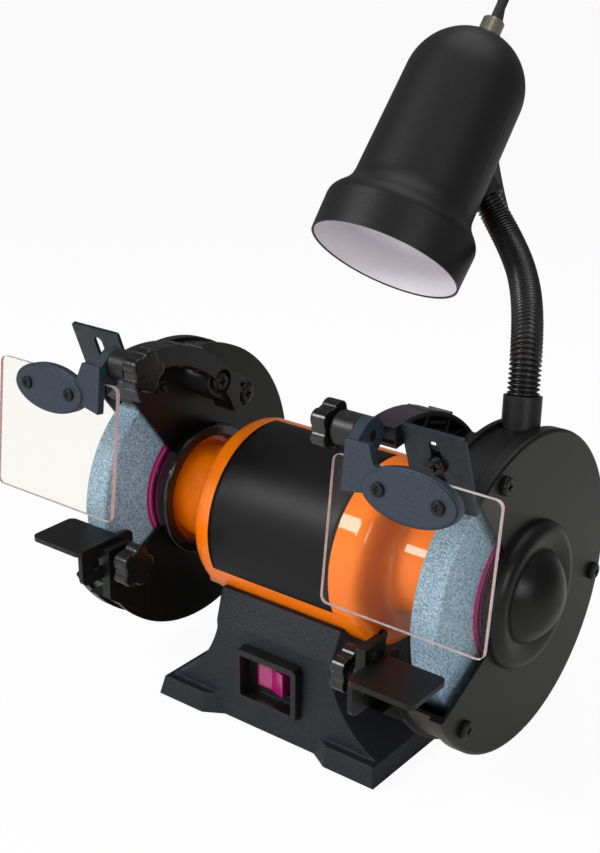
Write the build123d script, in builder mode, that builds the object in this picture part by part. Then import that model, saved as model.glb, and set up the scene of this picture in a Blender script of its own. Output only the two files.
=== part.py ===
from build123d import *
import os
from math import asin, cos, degrees, pi, radians, sin, tan

os.makedirs("parts", exist_ok=True)

# Bench grinder with a flexible work light. Millimetres, +Z up.
# X runs along the spindle, the front of the machine faces -Y,
# and the origin is on the bench top under the middle of the base.

# Wheels and spindle
axle_height = 112.0
wheel_radius = 75.0
wheel_width = 16.0
wheel_offset = 114.5
arbor_radius = 6.35
wheel_chamfer = 1.0
blotter_radius = 40.5
blotter_thickness = 0.6
flange_radius = 25.0
flange_thickness = 3.0
flange_relief = 1.0
journal_radius = 7.5
rotor_seat_radius = 9.0
rotor_seat_half = 40.0
arbor_nut_across = 19.0
arbor_nut_thickness = 9.0
arbor_end_past_nut = 2.0
fit_clearance = 0.05
seat_gap = 0.1

# Bearings
bearing_outer_radius = 17.5
bearing_width = 11.0
bearing_middle = 88.0
inner_race_wall = 1.8
outer_race_wall = 2.0
ball_count = 8
ball_play = 0.1

# Motor
motor_radius = 53.5
motor_wall = 3.0
motor_half_length = 52.0
shoulder_radius = 8.0
neck_radius = 30.0
neck_blend_radius = 6.0
bell_wall = 4.0
bell_flange_radius = 36.0
bell_flange_thickness = 7.0
bell_register_length = 6.0
stator_half_length = 20.0
stator_bore_radius = 28.6
rotor_radius = 28.0
stator_slots = 18
stator_slot_width = 4.0
stator_slot_depth = 13.0
slot_mouth = 1.0
winding_length = 12.0
winding_wall = 12.0
lug_angles = (229.0, 311.0)
lug_ring_radius = 48.0
lug_radius = 5.0
lug_length = 8.0
lug_screw_radius = 2.0
lug_screw_length = 20.0
motor_foot_x = 30.0
motor_foot_y = 14.0
motor_foot_radius = 4.5
motor_foot_height = 8.0
motor_screw_radius = 2.2

# Wheel guards
guard_inner_x = 102.0
guard_outer_x = 130.5
guard_radius = 87.0
guard_wall = 2.0
guard_lip_rise = 2.2
guard_lip_width = 3.0
guard_spindle_hole = 28.0
guard_screw_ring = 32.5
guard_screw_radius = 2.0
guard_screw_head_radius = 4.0
guard_screw_length = 6.0
cover_skirt_wall = 2.0
cover_skirt_length = 8.0
cover_edge_fillet = 2.0
opening_upper_angle = 127.0
opening_lower_angle = 207.0
opening_hub_radius = 37.0
cover_hub_radius = 41.5
dome_base_radius = 41.0
dome_crest_radius = 34.0
dome_crest_rise = 7.5
dome_valley_radius = 26.0
dome_valley_rise = 5.5
dome_rise = 19.5
cover_screw_ring = 79.0
cover_screw_angles = (113.0, -12.5, 223.0)
cover_screw_radius = 2.0
cover_screw_head_radius = 5.0
cover_screw_head_height = 3.2
cover_nut_across = 8.0
cover_nut_thickness = 3.4
collar_outer_radius = 41.5
collar_foot_radius = 37.8
collar_inner_radius = 33.5
collar_length = 12.0
collar_rim_length = 5.0
collar_edge = 2.0
collar_gap = 0.3

# Spark deflectors
deflector_tilt = 110.0
deflector_width = 36.0
deflector_length = 48.0
deflector_thickness = 2.0
deflector_inner_x = 93.0
deflector_slot_length = 26.0
deflector_slot_width = 6.2
deflector_slot_margin = 6.0
deflector_corner = 1.5
deflector_tab_width = 18.0
deflector_tab_length = 27.0
deflector_tab_thickness = 3.0
deflector_screw_reach = 20.0
deflector_screw_radius = 2.5
deflector_screw_head_radius = 5.0
deflector_screw_head_height = 3.0
deflector_foot_right = -8.0
deflector_foot_left = 1.0

# Eye shields
pivot_y = -84.0
pivot_z = axle_height + 105.0
pivot_bolt_radius = 3.0
pane_width = 93.0
pane_height = 77.0
pane_thickness = 2.5
pane_corner = 4.0
pane_middle_x = 118.5
pane_drop = 48.6
pane_forward = 9.4
pane_tilt = 7.0
bracket_thickness = 4.5
bracket_tab_inner_x = 81.3
bracket_tab_width = 6.4
bracket_tab_radius = 9.0
pad_length = 54.0
pad_height = 27.0
pad_middle_x = 119.5
pad_above_middle = 29.0
bracket_neck_width = 17.0
pad_rim_rise = 1.0
shield_screw_spacing = 33.0
shield_screw_radius = 1.8
shield_screw_head_radius = 3.6
shield_screw_head_height = 1.6
arm_middle_y = -58.0
arm_middle_z = axle_height + 26.0
arm_outer_radius = 81.5
arm_inner_radius = 70.0
arm_inner_x = 76.0
arm_width = 16.0
arm_web = 3.0
arm_flange = 2.4
arm_rib_count = 9
arm_rib_thickness = 1.6
arm_front_angle = 100.0
arm_rear_angle = 22.0
arm_lug_inner_x = 69.0
arm_lug_width = 12.0
arm_lug_radius = 9.0
arm_foot_boss_radius = 9.5
arm_foot_y = 19.0
arm_foot_z = axle_height + 60.0
arm_second_y = -4.0
arm_second_z = axle_height + 74.0
arm_screw_radius = 2.5
arm_screw_head_radius = 6.0
arm_screw_head_height = 4.0

# Knobs
knob_lobes = 5
knob_core_radius = 10.2
knob_lobe_ring = 7.8
knob_lobe_radius = 4.9
knob_height = 9.0
knob_hub_radius = 6.5
knob_hub_height = 2.0
knob_edge = 1.5

# Tool rests
rest_inner_x = 92.7
rest_thickness = 3.0
rest_width = 39.0
rest_depth = 32.0
rest_wheel_gap = 3.0
rest_corner = 4.0
rest_tab_height = 22.0
rest_slot_drop = 12.0
rest_slot_width = 6.8
rest_slot_front = -100.0
rest_slot_rear = -74.0
rest_tab_front = -108.0
rest_tab_rear = -67.0
clamp_y = -84.0
clamp_z_right = axle_height - 26.0
clamp_z_left = axle_height - 15.0
clamp_bolt_radius = 3.0
clamp_nut_across = 10.0
clamp_nut_thickness = 3.2
lug_plate_thickness = 6.0
lug_plate_width = 18.0
lug_plate_top = clamp_z_left + 9.0
lug_slot_low = clamp_z_right - 6.0
lug_slot_high = clamp_z_left + 6.0

# Base
base_floor = 1.2
base_half_x = 75.0
base_half_y = 56.0
foot_half_x = 79.0
foot_half_y = 63.0
foot_inner_x = 33.0
foot_bevel_x = 45.0
foot_height = 13.0
foot_taper = 12.0
waist_half_x = 41.0
waist_height = 55.0
saddle_half_x = 43.0
saddle_half_y = 45.0
saddle_height = axle_height - 34.0
shoulder_half_y = 52.0
shoulder_height = 60.0
base_wall = 4.0
boss_radius = 7.0
plate_boss_radius = 4.0
bolt_hole_depth = 13.0
bolt_x = 62.0
bolt_y = 42.0
bench_bolt_radius = 3.25
plate_thickness = 1.5
plate_bottom = 2.5
plate_screw_x = 48.0
plate_screw_y = 42.0
plate_screw_radius = 1.6
plate_screw_head_radius = 3.2
plate_screw_head_height = 1.2
plate_screw_length = 11.0
pad_foot_radius = 8.5
bezel_half_x = 22.0
bezel_low = 18.0
bezel_high = 51.0
bezel_front = -59.0
bezel_wall = 3.5
bezel_corner = 3.0
bezel_depth = 12.0
bezel_floor = 2.0
switch_half_x = 14.0
switch_half_z = 9.5
switch_back = -27.0
switch_wall = 1.5
rocker_half_x = 10.5
rocker_half_z = 7.5
rocker_pivot_y = -44.0
rocker_rise = 8.5
rocker_dip = 1.5
rocker_rest_angle = 10.0
rocker_pin_radius = 1.5
capacitor_radius = 14.0
capacitor_length = 50.0
capacitor_y = 20.0
gland_body_radius = 6.0
gland_flange_radius = 8.0
gland_nose_radius = 5.0
gland_bore = 3.4
gland_inner_y = 46.0
gland_seat_y = 55.0
gland_flange_y = 60.0
gland_nose_y = 75.0
gland_x = 30.0
gland_height = 28.0
motor_screw_seat = axle_height - 55.5
motor_screw_length = 10.0
motor_screw_head_radius = 4.0
motor_screw_head_height = 3.0

# Work light
shade_mouth = Vector(13.0, 31.0, axle_height + 155.0)
shade_axis = Vector(-0.029, -0.628, -0.777).normalized()
shade_length = 145.0
shade_wall = 1.2
shade_body_radius = 35.0
shade_neck_radius = 35.8
shade_flare_radius = 44.8
shade_mouth_radius = 44.2
shade_flare_length = 21.0
shade_flare_start = 42.0
socket_radius = 14.0
socket_foot = 92.0
socket_top = 138.0
socket_bore_depth = 12.0
nipple_radius = 5.0
nipple_top = 147.0
bulb_radius = 22.0
bulb_middle = 62.0
bulb_neck_radius = 11.9
bulb_neck_start = 84.0
grip_radius = 6.5
grip_foot = 144.75
grip_top = 155.0
cord_radius = 3.0
neck_start = Vector(112.0, 16.0, axle_height + 92.0)
neck_lift = Vector(105.4, 30.1, axle_height + 155.5)
neck_swing = Vector(60.6, 108.7, axle_height + 138.7)
neck_end = Vector(23.1, 111.3, axle_height + 185.7)
neck_radius_crest = 8.5
neck_radius_valley = 7.1
neck_bore = 4.5
neck_ribs = 72
neck_end_length = 17.0
collar_radius = 10.2
collar_sink = 12.0
collar_grip = 10.0
neck_clearance = 0.1
elbow_radius = 10.8
elbow_before = 10.0
elbow_after = 12.0
elbow_branch_radius = 9.0
elbow_branch_at = 4.0
elbow_seat = 0.15


def side_plane(x, y=0.0, z=axle_height):
    """Plane square to the spindle, with local x along +Y and local y up."""
    return Plane(origin=(x, y, z), x_dir=(0, 1, 0), z_dir=(1, 0, 0))


def turning_plane():
    """Plane through the spindle, with local x along it and local y the radius."""
    return Plane(origin=(0, 0, axle_height), x_dir=(1, 0, 0), z_dir=(0, -1, 0))


spindle_axis = Axis((0, 0, axle_height), (1, 0, 0))


def polar(radius, angle):
    """Local point on a plane square to the spindle."""
    return (radius * cos(radians(angle)), radius * sin(radians(angle)))


def keep(part, node):
    """Label a finished piece and write it as a node."""
    part.label = node
    export_step(part, f"parts/{node}.step")


def other_side(part):
    """The same piece on the left of the machine."""
    return mirror(part, about=Plane.YZ)


def keep_pair(part, node):
    """Write a piece on the right and its mirror image on the left."""
    left = other_side(part)
    keep(part, f"right_{node}")
    keep(left, f"left_{node}")


def keep_both(part, node):
    """Write a right piece and its mirror image as one node of separate solids."""
    left = other_side(part)
    keep(Compound(children=[*part.solids(), *left.solids()]), node)


# Spindle, turned from one bar
wheel_inner_x = wheel_offset - wheel_width / 2
wheel_outer_x = wheel_offset + wheel_width / 2
inner_flange_x = wheel_inner_x - blotter_thickness - flange_thickness
outer_flange_x = wheel_outer_x + blotter_thickness
arbor_nut_x = outer_flange_x + flange_thickness
arbor_end_x = arbor_nut_x + arbor_nut_thickness + arbor_end_past_nut

with BuildPart() as spindle:
    with BuildSketch(turning_plane()):
        with BuildLine():
            Polyline(
                (0, 0),
                (0, rotor_seat_radius),
                (rotor_seat_half, rotor_seat_radius),
                (rotor_seat_half, journal_radius),
                (inner_flange_x, journal_radius),
                (inner_flange_x, arbor_radius),
                (arbor_end_x, arbor_radius),
                (arbor_end_x, 0),
                close=True,
            )
        make_face()
    revolve(axis=spindle_axis)
    chamfer(spindle.edges().filter_by(GeomType.CIRCLE).sort_by(Axis.X)[-1], wheel_chamfer)
    mirror(about=Plane.YZ)
keep(spindle.part, "spindle")

with BuildPart() as rotor_core:
    with BuildSketch(side_plane(-stator_half_length)):
        Circle(rotor_radius)
        Circle(rotor_seat_radius + fit_clearance, mode=Mode.SUBTRACT)
    extrude(amount=2 * stator_half_length)
keep(rotor_core.part, "rotor_core")


def ring(x_start, x_end, outer, inner):
    """Plain ring about the spindle."""
    with BuildPart() as piece:
        with BuildSketch(side_plane(x_start)):
            Circle(outer)
            Circle(inner, mode=Mode.SUBTRACT)
        extrude(amount=x_end - x_start)
    return piece.part


# Bearings: the outer races sit in the end bells, the rest turns with the spindle
race_start = bearing_middle - bearing_width / 2
race_end = bearing_middle + bearing_width / 2
inner_race_radius = journal_radius + inner_race_wall
outer_race_bore = bearing_outer_radius - outer_race_wall
ball_radius = (outer_race_bore - inner_race_radius) / 2 - ball_play
ball_ring = (outer_race_bore + inner_race_radius) / 2
keep_both(ring(race_start, race_end, bearing_outer_radius, outer_race_bore), "bearing_outer_races")
inner_race_bore = journal_radius + fit_clearance / 2
keep_both(ring(race_start, race_end, inner_race_radius, inner_race_bore), "bearing_inner_races")
with BuildPart() as balls:
    with Locations(side_plane(bearing_middle)):
        with PolarLocations(ball_ring, ball_count):
            Sphere(ball_radius)
keep_both(balls.part, "bearing_balls")

# Wheels, blotters, flanges and nuts
bore_radius = arbor_radius + fit_clearance
with BuildPart() as wheel:
    add(ring(wheel_inner_x, wheel_outer_x, wheel_radius, bore_radius))
    chamfer(wheel.edges().filter_by(GeomType.CIRCLE).group_by(SortBy.RADIUS)[-1], wheel_chamfer)
keep_pair(wheel.part, "wheel")

with BuildPart() as blotters:
    add(ring(wheel_inner_x - blotter_thickness, wheel_inner_x, blotter_radius, bore_radius))
    add(ring(wheel_outer_x, wheel_outer_x + blotter_thickness, blotter_radius, bore_radius))
keep_both(blotters.part, "wheel_blotters")


def flange(x_start, x_face, x_relief):
    """Wheel flange, relieved in the middle of the face that grips the wheel."""
    with BuildPart() as piece:
        add(ring(x_start, x_start + flange_thickness, flange_radius, bore_radius))
        with BuildSketch(side_plane(x_face)):
            Circle(flange_radius * 2 / 3)
        extrude(amount=x_relief, mode=Mode.SUBTRACT)
    return piece.part


with BuildPart() as flanges:
    add(flange(inner_flange_x, inner_flange_x + flange_thickness, -flange_relief))
    add(flange(outer_flange_x, outer_flange_x, flange_relief))
keep_both(flanges.part, "wheel_flanges")


def hex_ring(x_start, thickness, across, bore):
    """Hexagon nut about the spindle line of its plane."""
    with BuildPart() as piece:
        with BuildSketch(side_plane(x_start)):
            RegularPolygon(across / 2, 6, major_radius=False)
            Circle(bore, mode=Mode.SUBTRACT)
        extrude(amount=thickness)
    return piece.part


keep_both(hex_ring(arbor_nut_x, arbor_nut_thickness, arbor_nut_across, bore_radius), "arbor_nuts")

# Motor shell, with the bosses that the bell screws and foot screws bite into
shell_bore = motor_radius - motor_wall
lug_boss_end = motor_half_length - bell_register_length
motor_boss_foot = axle_height - (motor_radius**2 - (motor_foot_y + motor_foot_radius) ** 2) ** 0.5
lug_boss_start = motor_half_length + lug_length - lug_screw_length

with BuildPart() as motor_shell:
    with BuildSketch(side_plane(-motor_half_length)):
        Circle(motor_radius)
        Circle(shell_bore, mode=Mode.SUBTRACT)
    extrude(amount=2 * motor_half_length)
    with BuildSketch(Plane.XY.offset(motor_boss_foot)):
        with GridLocations(2 * motor_foot_x, 2 * motor_foot_y, 2, 2):
            Circle(motor_foot_radius)
    extrude(amount=motor_foot_height)
    with BuildSketch(Plane.XY):
        with GridLocations(2 * motor_foot_x, 2 * motor_foot_y, 2, 2):
            Circle(motor_screw_radius)
    extrude(amount=axle_height - motor_radius + motor_foot_height, mode=Mode.SUBTRACT)
    for end in (-1, 1):
        with BuildSketch(side_plane(end * lug_boss_start)):
            for angle in lug_angles:
                with Locations(polar(lug_ring_radius, angle)):
                    Circle(lug_radius)
                    Circle(lug_screw_radius + fit_clearance, mode=Mode.SUBTRACT)
        extrude(amount=end * (lug_boss_end - lug_boss_start))
keep(motor_shell.part, "motor_shell")

# End bells: shoulder, neck with a flange that carries the guard, bearing seat and screw lugs
shoulder_x = motor_half_length + shoulder_radius
neck_start_x = shoulder_x + neck_blend_radius
shoulder_foot = motor_radius - shoulder_radius
blend_top = neck_radius + neck_blend_radius
bell_bore = neck_radius - bell_wall
bell_flange_x = guard_inner_x - bell_flange_thickness

with BuildPart() as end_bell:
    with BuildSketch(turning_plane()):
        with BuildLine():
            outline = Line((motor_half_length, shell_bore - seat_gap), (motor_half_length, motor_radius))
            RadiusArc(outline @ 1, (shoulder_x, shoulder_foot), shoulder_radius)
            Line((shoulder_x, shoulder_foot), (shoulder_x, blend_top))
            RadiusArc((shoulder_x, blend_top), (neck_start_x, neck_radius), -neck_blend_radius)
            Polyline(
                (neck_start_x, neck_radius),
                (bell_flange_x, neck_radius),
                (bell_flange_x, bell_flange_radius),
                (guard_inner_x, bell_flange_radius),
                (guard_inner_x, bell_bore),
                (race_end, bell_bore),
                (race_end, bearing_outer_radius),
                (race_start, bearing_outer_radius),
                (race_start, bearing_outer_radius - outer_race_wall),
                (race_start - bell_wall, bearing_outer_radius - outer_race_wall),
                (race_start - bell_wall, bell_bore),
                (shoulder_x - bell_wall, bell_bore),
                (shoulder_x - bell_wall, shoulder_foot),
                (motor_half_length - bell_register_length, shoulder_foot),
                (motor_half_length - bell_register_length, shell_bore - seat_gap),
                outline @ 0,
            )
        make_face()
    revolve(axis=spindle_axis)
    with BuildSketch(side_plane(motor_half_length)):
        for angle in lug_angles:
            with Locations(polar(lug_ring_radius, angle)):
                Circle(lug_radius)
    extrude(amount=lug_length)
    with BuildSketch(side_plane(0)):
        for angle in lug_angles:
            with Locations(polar(lug_ring_radius, angle)):
                Circle(lug_screw_radius + fit_clearance)
    extrude(amount=motor_half_length + lug_length, mode=Mode.SUBTRACT)
    with BuildSketch(side_plane(guard_inner_x)):
        with PolarLocations(guard_screw_ring, 3, start_angle=30):
            Circle(guard_screw_radius)
    extrude(amount=-guard_screw_length, mode=Mode.SUBTRACT)
keep_pair(end_bell.part, "end_bell")

with BuildPart() as lug_screws:
    with BuildSketch(side_plane(motor_half_length + lug_length)):
        for angle in lug_angles:
            with Locations(polar(lug_ring_radius, angle)):
                Circle(lug_radius * 0.8)
    extrude(amount=lug_screw_radius)
    with BuildSketch(side_plane(motor_half_length + lug_length)):
        for angle in lug_angles:
            with Locations(polar(lug_ring_radius, angle)):
                Circle(lug_screw_radius)
    extrude(amount=-lug_screw_length + seat_gap)
keep_both(lug_screws.part, "bell_screws")

# Stator, with its slots, and the end turns of the winding
with BuildPart() as stator_core:
    with BuildSketch(side_plane(-stator_half_length)):
        Circle(shell_bore - fit_clearance)
        Circle(stator_bore_radius, mode=Mode.SUBTRACT)
        with PolarLocations(stator_bore_radius + stator_slot_depth / 2 - slot_mouth, stator_slots):
            Rectangle(stator_slot_depth + 2 * slot_mouth, stator_slot_width, mode=Mode.SUBTRACT)
    extrude(amount=2 * stator_half_length)
keep(stator_core.part, "stator_core")

with BuildPart() as windings:
    with BuildSketch(side_plane(stator_half_length)):
        Circle(stator_bore_radius + winding_wall + 2)
        Circle(stator_bore_radius + 2, mode=Mode.SUBTRACT)
    extrude(amount=winding_length)
    fillet(windings.edges().filter_by(GeomType.CIRCLE).group_by(Axis.X)[-1], winding_wall / 3)
keep_both(windings.part, "stator_windings")


def pan_screw(plane, head_radius, head_height, shank_radius, length):
    """Cross-head screw whose head stands on the plane and whose shank runs below it."""
    with BuildPart() as piece:
        with BuildSketch(plane):
            Circle(head_radius)
        extrude(amount=head_height)
        top = piece.faces().sort_by(Axis(plane.origin, plane.z_dir))[-1]
        fillet(top.edges(), head_height / 2)
        with BuildSketch(plane.offset(head_height)):
            Rectangle(head_radius, head_radius / 4)
            Rectangle(head_radius / 4, head_radius)
        extrude(amount=-head_height / 2, mode=Mode.SUBTRACT)
        with BuildSketch(plane):
            Circle(shank_radius)
        extrude(amount=-length)
    return piece.part


def inward(plane):
    """The same plane, facing the other way."""
    return Plane(origin=plane.origin, x_dir=plane.x_dir, z_dir=-plane.z_dir)


def front_opening(hub_radius):
    """Wedge of the guard's front opening, from the hub out past the rim."""
    reach = 1.5 * guard_radius
    middle = (opening_upper_angle + opening_lower_angle) / 2
    with BuildSketch() as wedge:
        with BuildLine():
            Polyline(
                polar(hub_radius, opening_upper_angle),
                polar(reach, opening_upper_angle),
                polar(reach, opening_lower_angle),
                polar(hub_radius, opening_lower_angle),
            )
            ThreePointArc(
                polar(hub_radius, opening_lower_angle),
                polar(hub_radius, middle),
                polar(hub_radius, opening_upper_angle),
            )
        make_face()
    return wedge.sketch


# Spark deflector line: it starts at the guard rim's upper opening edge
deflector_foot_y, deflector_foot_up = polar(guard_radius + guard_lip_rise + seat_gap, opening_upper_angle)
deflector_foot_z = axle_height + deflector_foot_up
deflector_along = Vector(0, cos(radians(deflector_tilt)), sin(radians(deflector_tilt)))
deflector_front = Vector(1, 0, 0).cross(deflector_along)
deflector_plane = Plane(
    origin=(deflector_inner_x + deflector_width / 2, deflector_foot_y, deflector_foot_z),
    x_dir=(1, 0, 0),
    z_dir=deflector_front,
)
guard_band_width = guard_outer_x - guard_wall - guard_inner_x - seat_gap
lug_plate_x = rest_inner_x - seat_gap - lug_plate_thickness
lug_floor = clamp_z_right + rest_slot_drop - rest_tab_height - 1

# Inner guards: back plate, rim, screw holes, deflector tab and tool rest lug
with BuildPart() as inner_guard:
    with BuildSketch(side_plane(guard_inner_x)):
        Circle(guard_radius)
        Circle(guard_spindle_hole, mode=Mode.SUBTRACT)
        with PolarLocations(guard_screw_ring, 3, start_angle=30):
            Circle(guard_screw_radius, mode=Mode.SUBTRACT)
        for angle in cover_screw_angles:
            with Locations(polar(cover_screw_ring, angle)):
                Circle(cover_screw_radius + fit_clearance, mode=Mode.SUBTRACT)
        for y, z in ((arm_foot_y, arm_foot_z), (arm_second_y, arm_second_z)):
            with Locations((y, z - axle_height)):
                Circle(arm_screw_radius, mode=Mode.SUBTRACT)
    extrude(amount=guard_wall)
    with BuildSketch(side_plane(guard_inner_x)):
        Circle(guard_radius)
        Circle(guard_radius - guard_wall, mode=Mode.SUBTRACT)
    extrude(amount=guard_band_width)
    with BuildSketch(side_plane(guard_inner_x)):
        Circle(guard_radius + guard_lip_rise)
        Circle(guard_radius - guard_wall, mode=Mode.SUBTRACT)
    extrude(amount=guard_lip_width)
    with BuildSketch(side_plane(guard_inner_x)):
        add(front_opening(opening_hub_radius))
    extrude(amount=guard_outer_x - guard_inner_x, mode=Mode.SUBTRACT)
    with BuildSketch(deflector_plane.offset(-deflector_tab_thickness)):
        with Locations((0, deflector_tab_length / 2 - guard_wall)):
            Rectangle(deflector_tab_width, deflector_tab_length + 2 * guard_wall)
        with Locations((0, deflector_screw_reach)):
            Circle(deflector_screw_radius, mode=Mode.SUBTRACT)
    extrude(amount=deflector_tab_thickness)
    with BuildSketch(side_plane(lug_plate_x, clamp_y, 0)):
        with Locations((0, (lug_floor + lug_plate_top) / 2)):
            Rectangle(lug_plate_width, lug_plate_top - lug_floor)
        with Locations((0, (lug_slot_low + lug_slot_high) / 2)):
            lug_slot_length = lug_slot_high - lug_slot_low
            SlotOverall(lug_slot_length, 2 * clamp_bolt_radius + 1, rotation=90, mode=Mode.SUBTRACT)
    extrude(amount=lug_plate_thickness)
    with BuildSketch(side_plane(lug_plate_x)):
        with BuildLine():
            Polyline(
                (clamp_y - lug_plate_width / 2, lug_floor - axle_height),
                polar(guard_radius, opening_lower_angle + 15),
                polar(guard_radius - lug_plate_width, opening_lower_angle + 3),
                (clamp_y + lug_plate_width / 2, lug_floor - axle_height),
                close=True,
            )
        make_face()
    extrude(amount=guard_inner_x + guard_wall - lug_plate_x)
keep_pair(inner_guard.part, "inner_guard")

# Guard covers: pressed plate with a skirt, a hub dome and the front opening
skirt_bore = guard_radius + seat_gap
skirt_radius = skirt_bore + cover_skirt_wall


def dome_line(wall):
    """Hub dome in section, drawn from its base to its tip, set in by the wall."""
    face = guard_outer_x - wall
    cap_rise = dome_rise - dome_valley_rise
    cap_radius = (dome_valley_radius**2 + cap_rise**2) / (2 * cap_rise)
    cap_middle = guard_outer_x + dome_rise - cap_radius
    cap_angle = asin(dome_valley_radius / cap_radius)
    valley = (cap_middle + (cap_radius - wall) * cos(cap_angle), (cap_radius - wall) * sin(cap_angle))
    crest = (face + dome_crest_rise, dome_crest_radius - wall / 4)
    base = (face, dome_base_radius - wall)
    ThreePointArc(base, (face + dome_crest_rise * 0.76, dome_base_radius - wall - 2), crest)
    ThreePointArc(crest, (face + dome_crest_rise * 0.92, (crest[1] + valley[1]) / 2), valley)
    CenterArc((cap_middle, 0), cap_radius - wall, degrees(cap_angle), -degrees(cap_angle))


with BuildPart() as guard_cover:
    with BuildSketch(turning_plane()):
        with BuildLine():
            dome_line(0)
            Line((guard_outer_x + dome_rise, 0), (guard_outer_x - guard_wall + dome_rise, 0))
            dome_line(guard_wall)
            Polyline(
                (guard_outer_x - guard_wall, dome_base_radius - guard_wall),
                (guard_outer_x - guard_wall, skirt_bore),
                (guard_outer_x - cover_skirt_length, skirt_bore),
                (guard_outer_x - cover_skirt_length, skirt_radius),
                (guard_outer_x - cover_edge_fillet, skirt_radius),
            )
            ThreePointArc(
                (guard_outer_x - cover_edge_fillet, skirt_radius),
                (guard_outer_x - cover_edge_fillet * 0.293, skirt_radius - cover_edge_fillet * 0.293),
                (guard_outer_x, skirt_radius - cover_edge_fillet),
            )
            Line((guard_outer_x, skirt_radius - cover_edge_fillet), (guard_outer_x, dome_base_radius))
        make_face()
    revolve(axis=spindle_axis)
    with BuildSketch(side_plane(guard_outer_x - cover_skirt_length)):
        add(front_opening(cover_hub_radius))
    extrude(amount=cover_skirt_length, mode=Mode.SUBTRACT)
    with BuildSketch(side_plane(guard_outer_x)):
        for angle in cover_screw_angles:
            with Locations(polar(cover_screw_ring, angle)):
                Circle(cover_screw_radius + fit_clearance)
    extrude(amount=-guard_wall, mode=Mode.SUBTRACT)
keep_pair(guard_cover.part, "guard_cover")

cover_screw_length = guard_outer_x - guard_inner_x + cover_nut_thickness + guard_wall
with BuildPart() as cover_screws:
    for angle in cover_screw_angles:
        y, z = polar(cover_screw_ring, angle)
        add(
            pan_screw(
                side_plane(guard_outer_x, y, axle_height + z),
                cover_screw_head_radius,
                cover_screw_head_height,
                cover_screw_radius,
                cover_screw_length,
            )
        )
keep_both(cover_screws.part, "cover_screws")

with BuildPart() as cover_nuts:
    with BuildSketch(side_plane(guard_inner_x)):
        for angle in cover_screw_angles:
            with Locations(polar(cover_screw_ring, angle)):
                RegularPolygon(cover_nut_across / 2, 6, major_radius=False)
                Circle(cover_screw_radius + fit_clearance, mode=Mode.SUBTRACT)
    extrude(amount=-cover_nut_thickness)
keep_both(cover_nuts.part, "cover_nuts")

with BuildPart() as guard_screws:
    with BuildSketch(side_plane(guard_inner_x)):
        with PolarLocations(guard_screw_ring, 3, start_angle=30):
            Circle(guard_screw_radius - fit_clearance)
    extrude(amount=guard_wall)
    extrude(guard_screws.faces().sort_by(Axis.X)[:3], amount=guard_screw_length - seat_gap)
    with BuildSketch(side_plane(guard_inner_x + guard_wall)):
        with PolarLocations(guard_screw_ring, 3, start_angle=30):
            Circle(guard_screw_head_radius)
    extrude(amount=guard_wall / 2)
keep_both(guard_screws.part, "guard_screws")

collar_front_x = guard_inner_x - collar_length
with BuildPart() as guard_collar:
    with BuildSketch(turning_plane()):
        with BuildLine():
            Polyline(
                (collar_front_x, collar_inner_radius),
                (collar_front_x, collar_outer_radius),
                (collar_front_x + collar_rim_length, collar_outer_radius),
                (guard_inner_x, collar_foot_radius),
                (guard_inner_x, bell_flange_radius + collar_gap),
                (bell_flange_x - collar_gap, bell_flange_radius + collar_gap),
                (bell_flange_x - collar_gap, collar_inner_radius),
                close=True,
            )
        make_face()
    revolve(axis=spindle_axis)
    fillet(guard_collar.edges().filter_by(GeomType.CIRCLE).group_by(Axis.X)[0], collar_edge)
keep_both(guard_collar.part, "guard_collars")


def deflector(foot):
    """Slotted spark plate whose lower edge is this far along its line."""
    with BuildPart() as piece:
        with BuildSketch(deflector_plane.offset(seat_gap)):
            with Locations((0, foot + deflector_length / 2)):
                RectangleRounded(deflector_width, deflector_length, deflector_corner)
            slot_middle = foot + deflector_length - deflector_slot_margin - deflector_slot_length / 2
            with Locations((0, slot_middle)):
                SlotOverall(deflector_slot_length, deflector_slot_width, rotation=90, mode=Mode.SUBTRACT)
        extrude(amount=deflector_thickness)
    return piece.part


keep(deflector(deflector_foot_right), "right_spark_deflector")
keep(other_side(deflector(deflector_foot_left)), "left_spark_deflector")

deflector_screw_seat = Plane(
    origin=deflector_plane.from_local_coords((0, deflector_screw_reach, deflector_thickness + 2 * seat_gap)),
    x_dir=(1, 0, 0),
    z_dir=deflector_front,
)
keep_both(
    pan_screw(
        deflector_screw_seat,
        deflector_screw_head_radius,
        deflector_screw_head_height,
        deflector_screw_radius - fit_clearance,
        deflector_thickness + 2 * seat_gap + deflector_tab_thickness,
    ),
    "deflector_screws",
)

# Shield arms: arched plastic beams, ribbed on the guard's side, with a pivot lug and a foot
arm_mid_radius = (arm_outer_radius + arm_inner_radius) / 2


def arch(outer, inner, start, end):
    """Flat ring segment about the arm's own centre."""
    with BuildSketch() as segment:
        with BuildLine():
            CenterArc((0, 0), outer, start, end - start)
            CenterArc((0, 0), inner, start, end - start)
            Line(polar(inner, start), polar(outer, start))
            Line(polar(inner, end), polar(outer, end))
        make_face()
    return segment.sketch


def arm_plane(x):
    """Plane square to the spindle at the middle of the arm's arc."""
    return side_plane(x, arm_middle_y, arm_middle_z)


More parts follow.
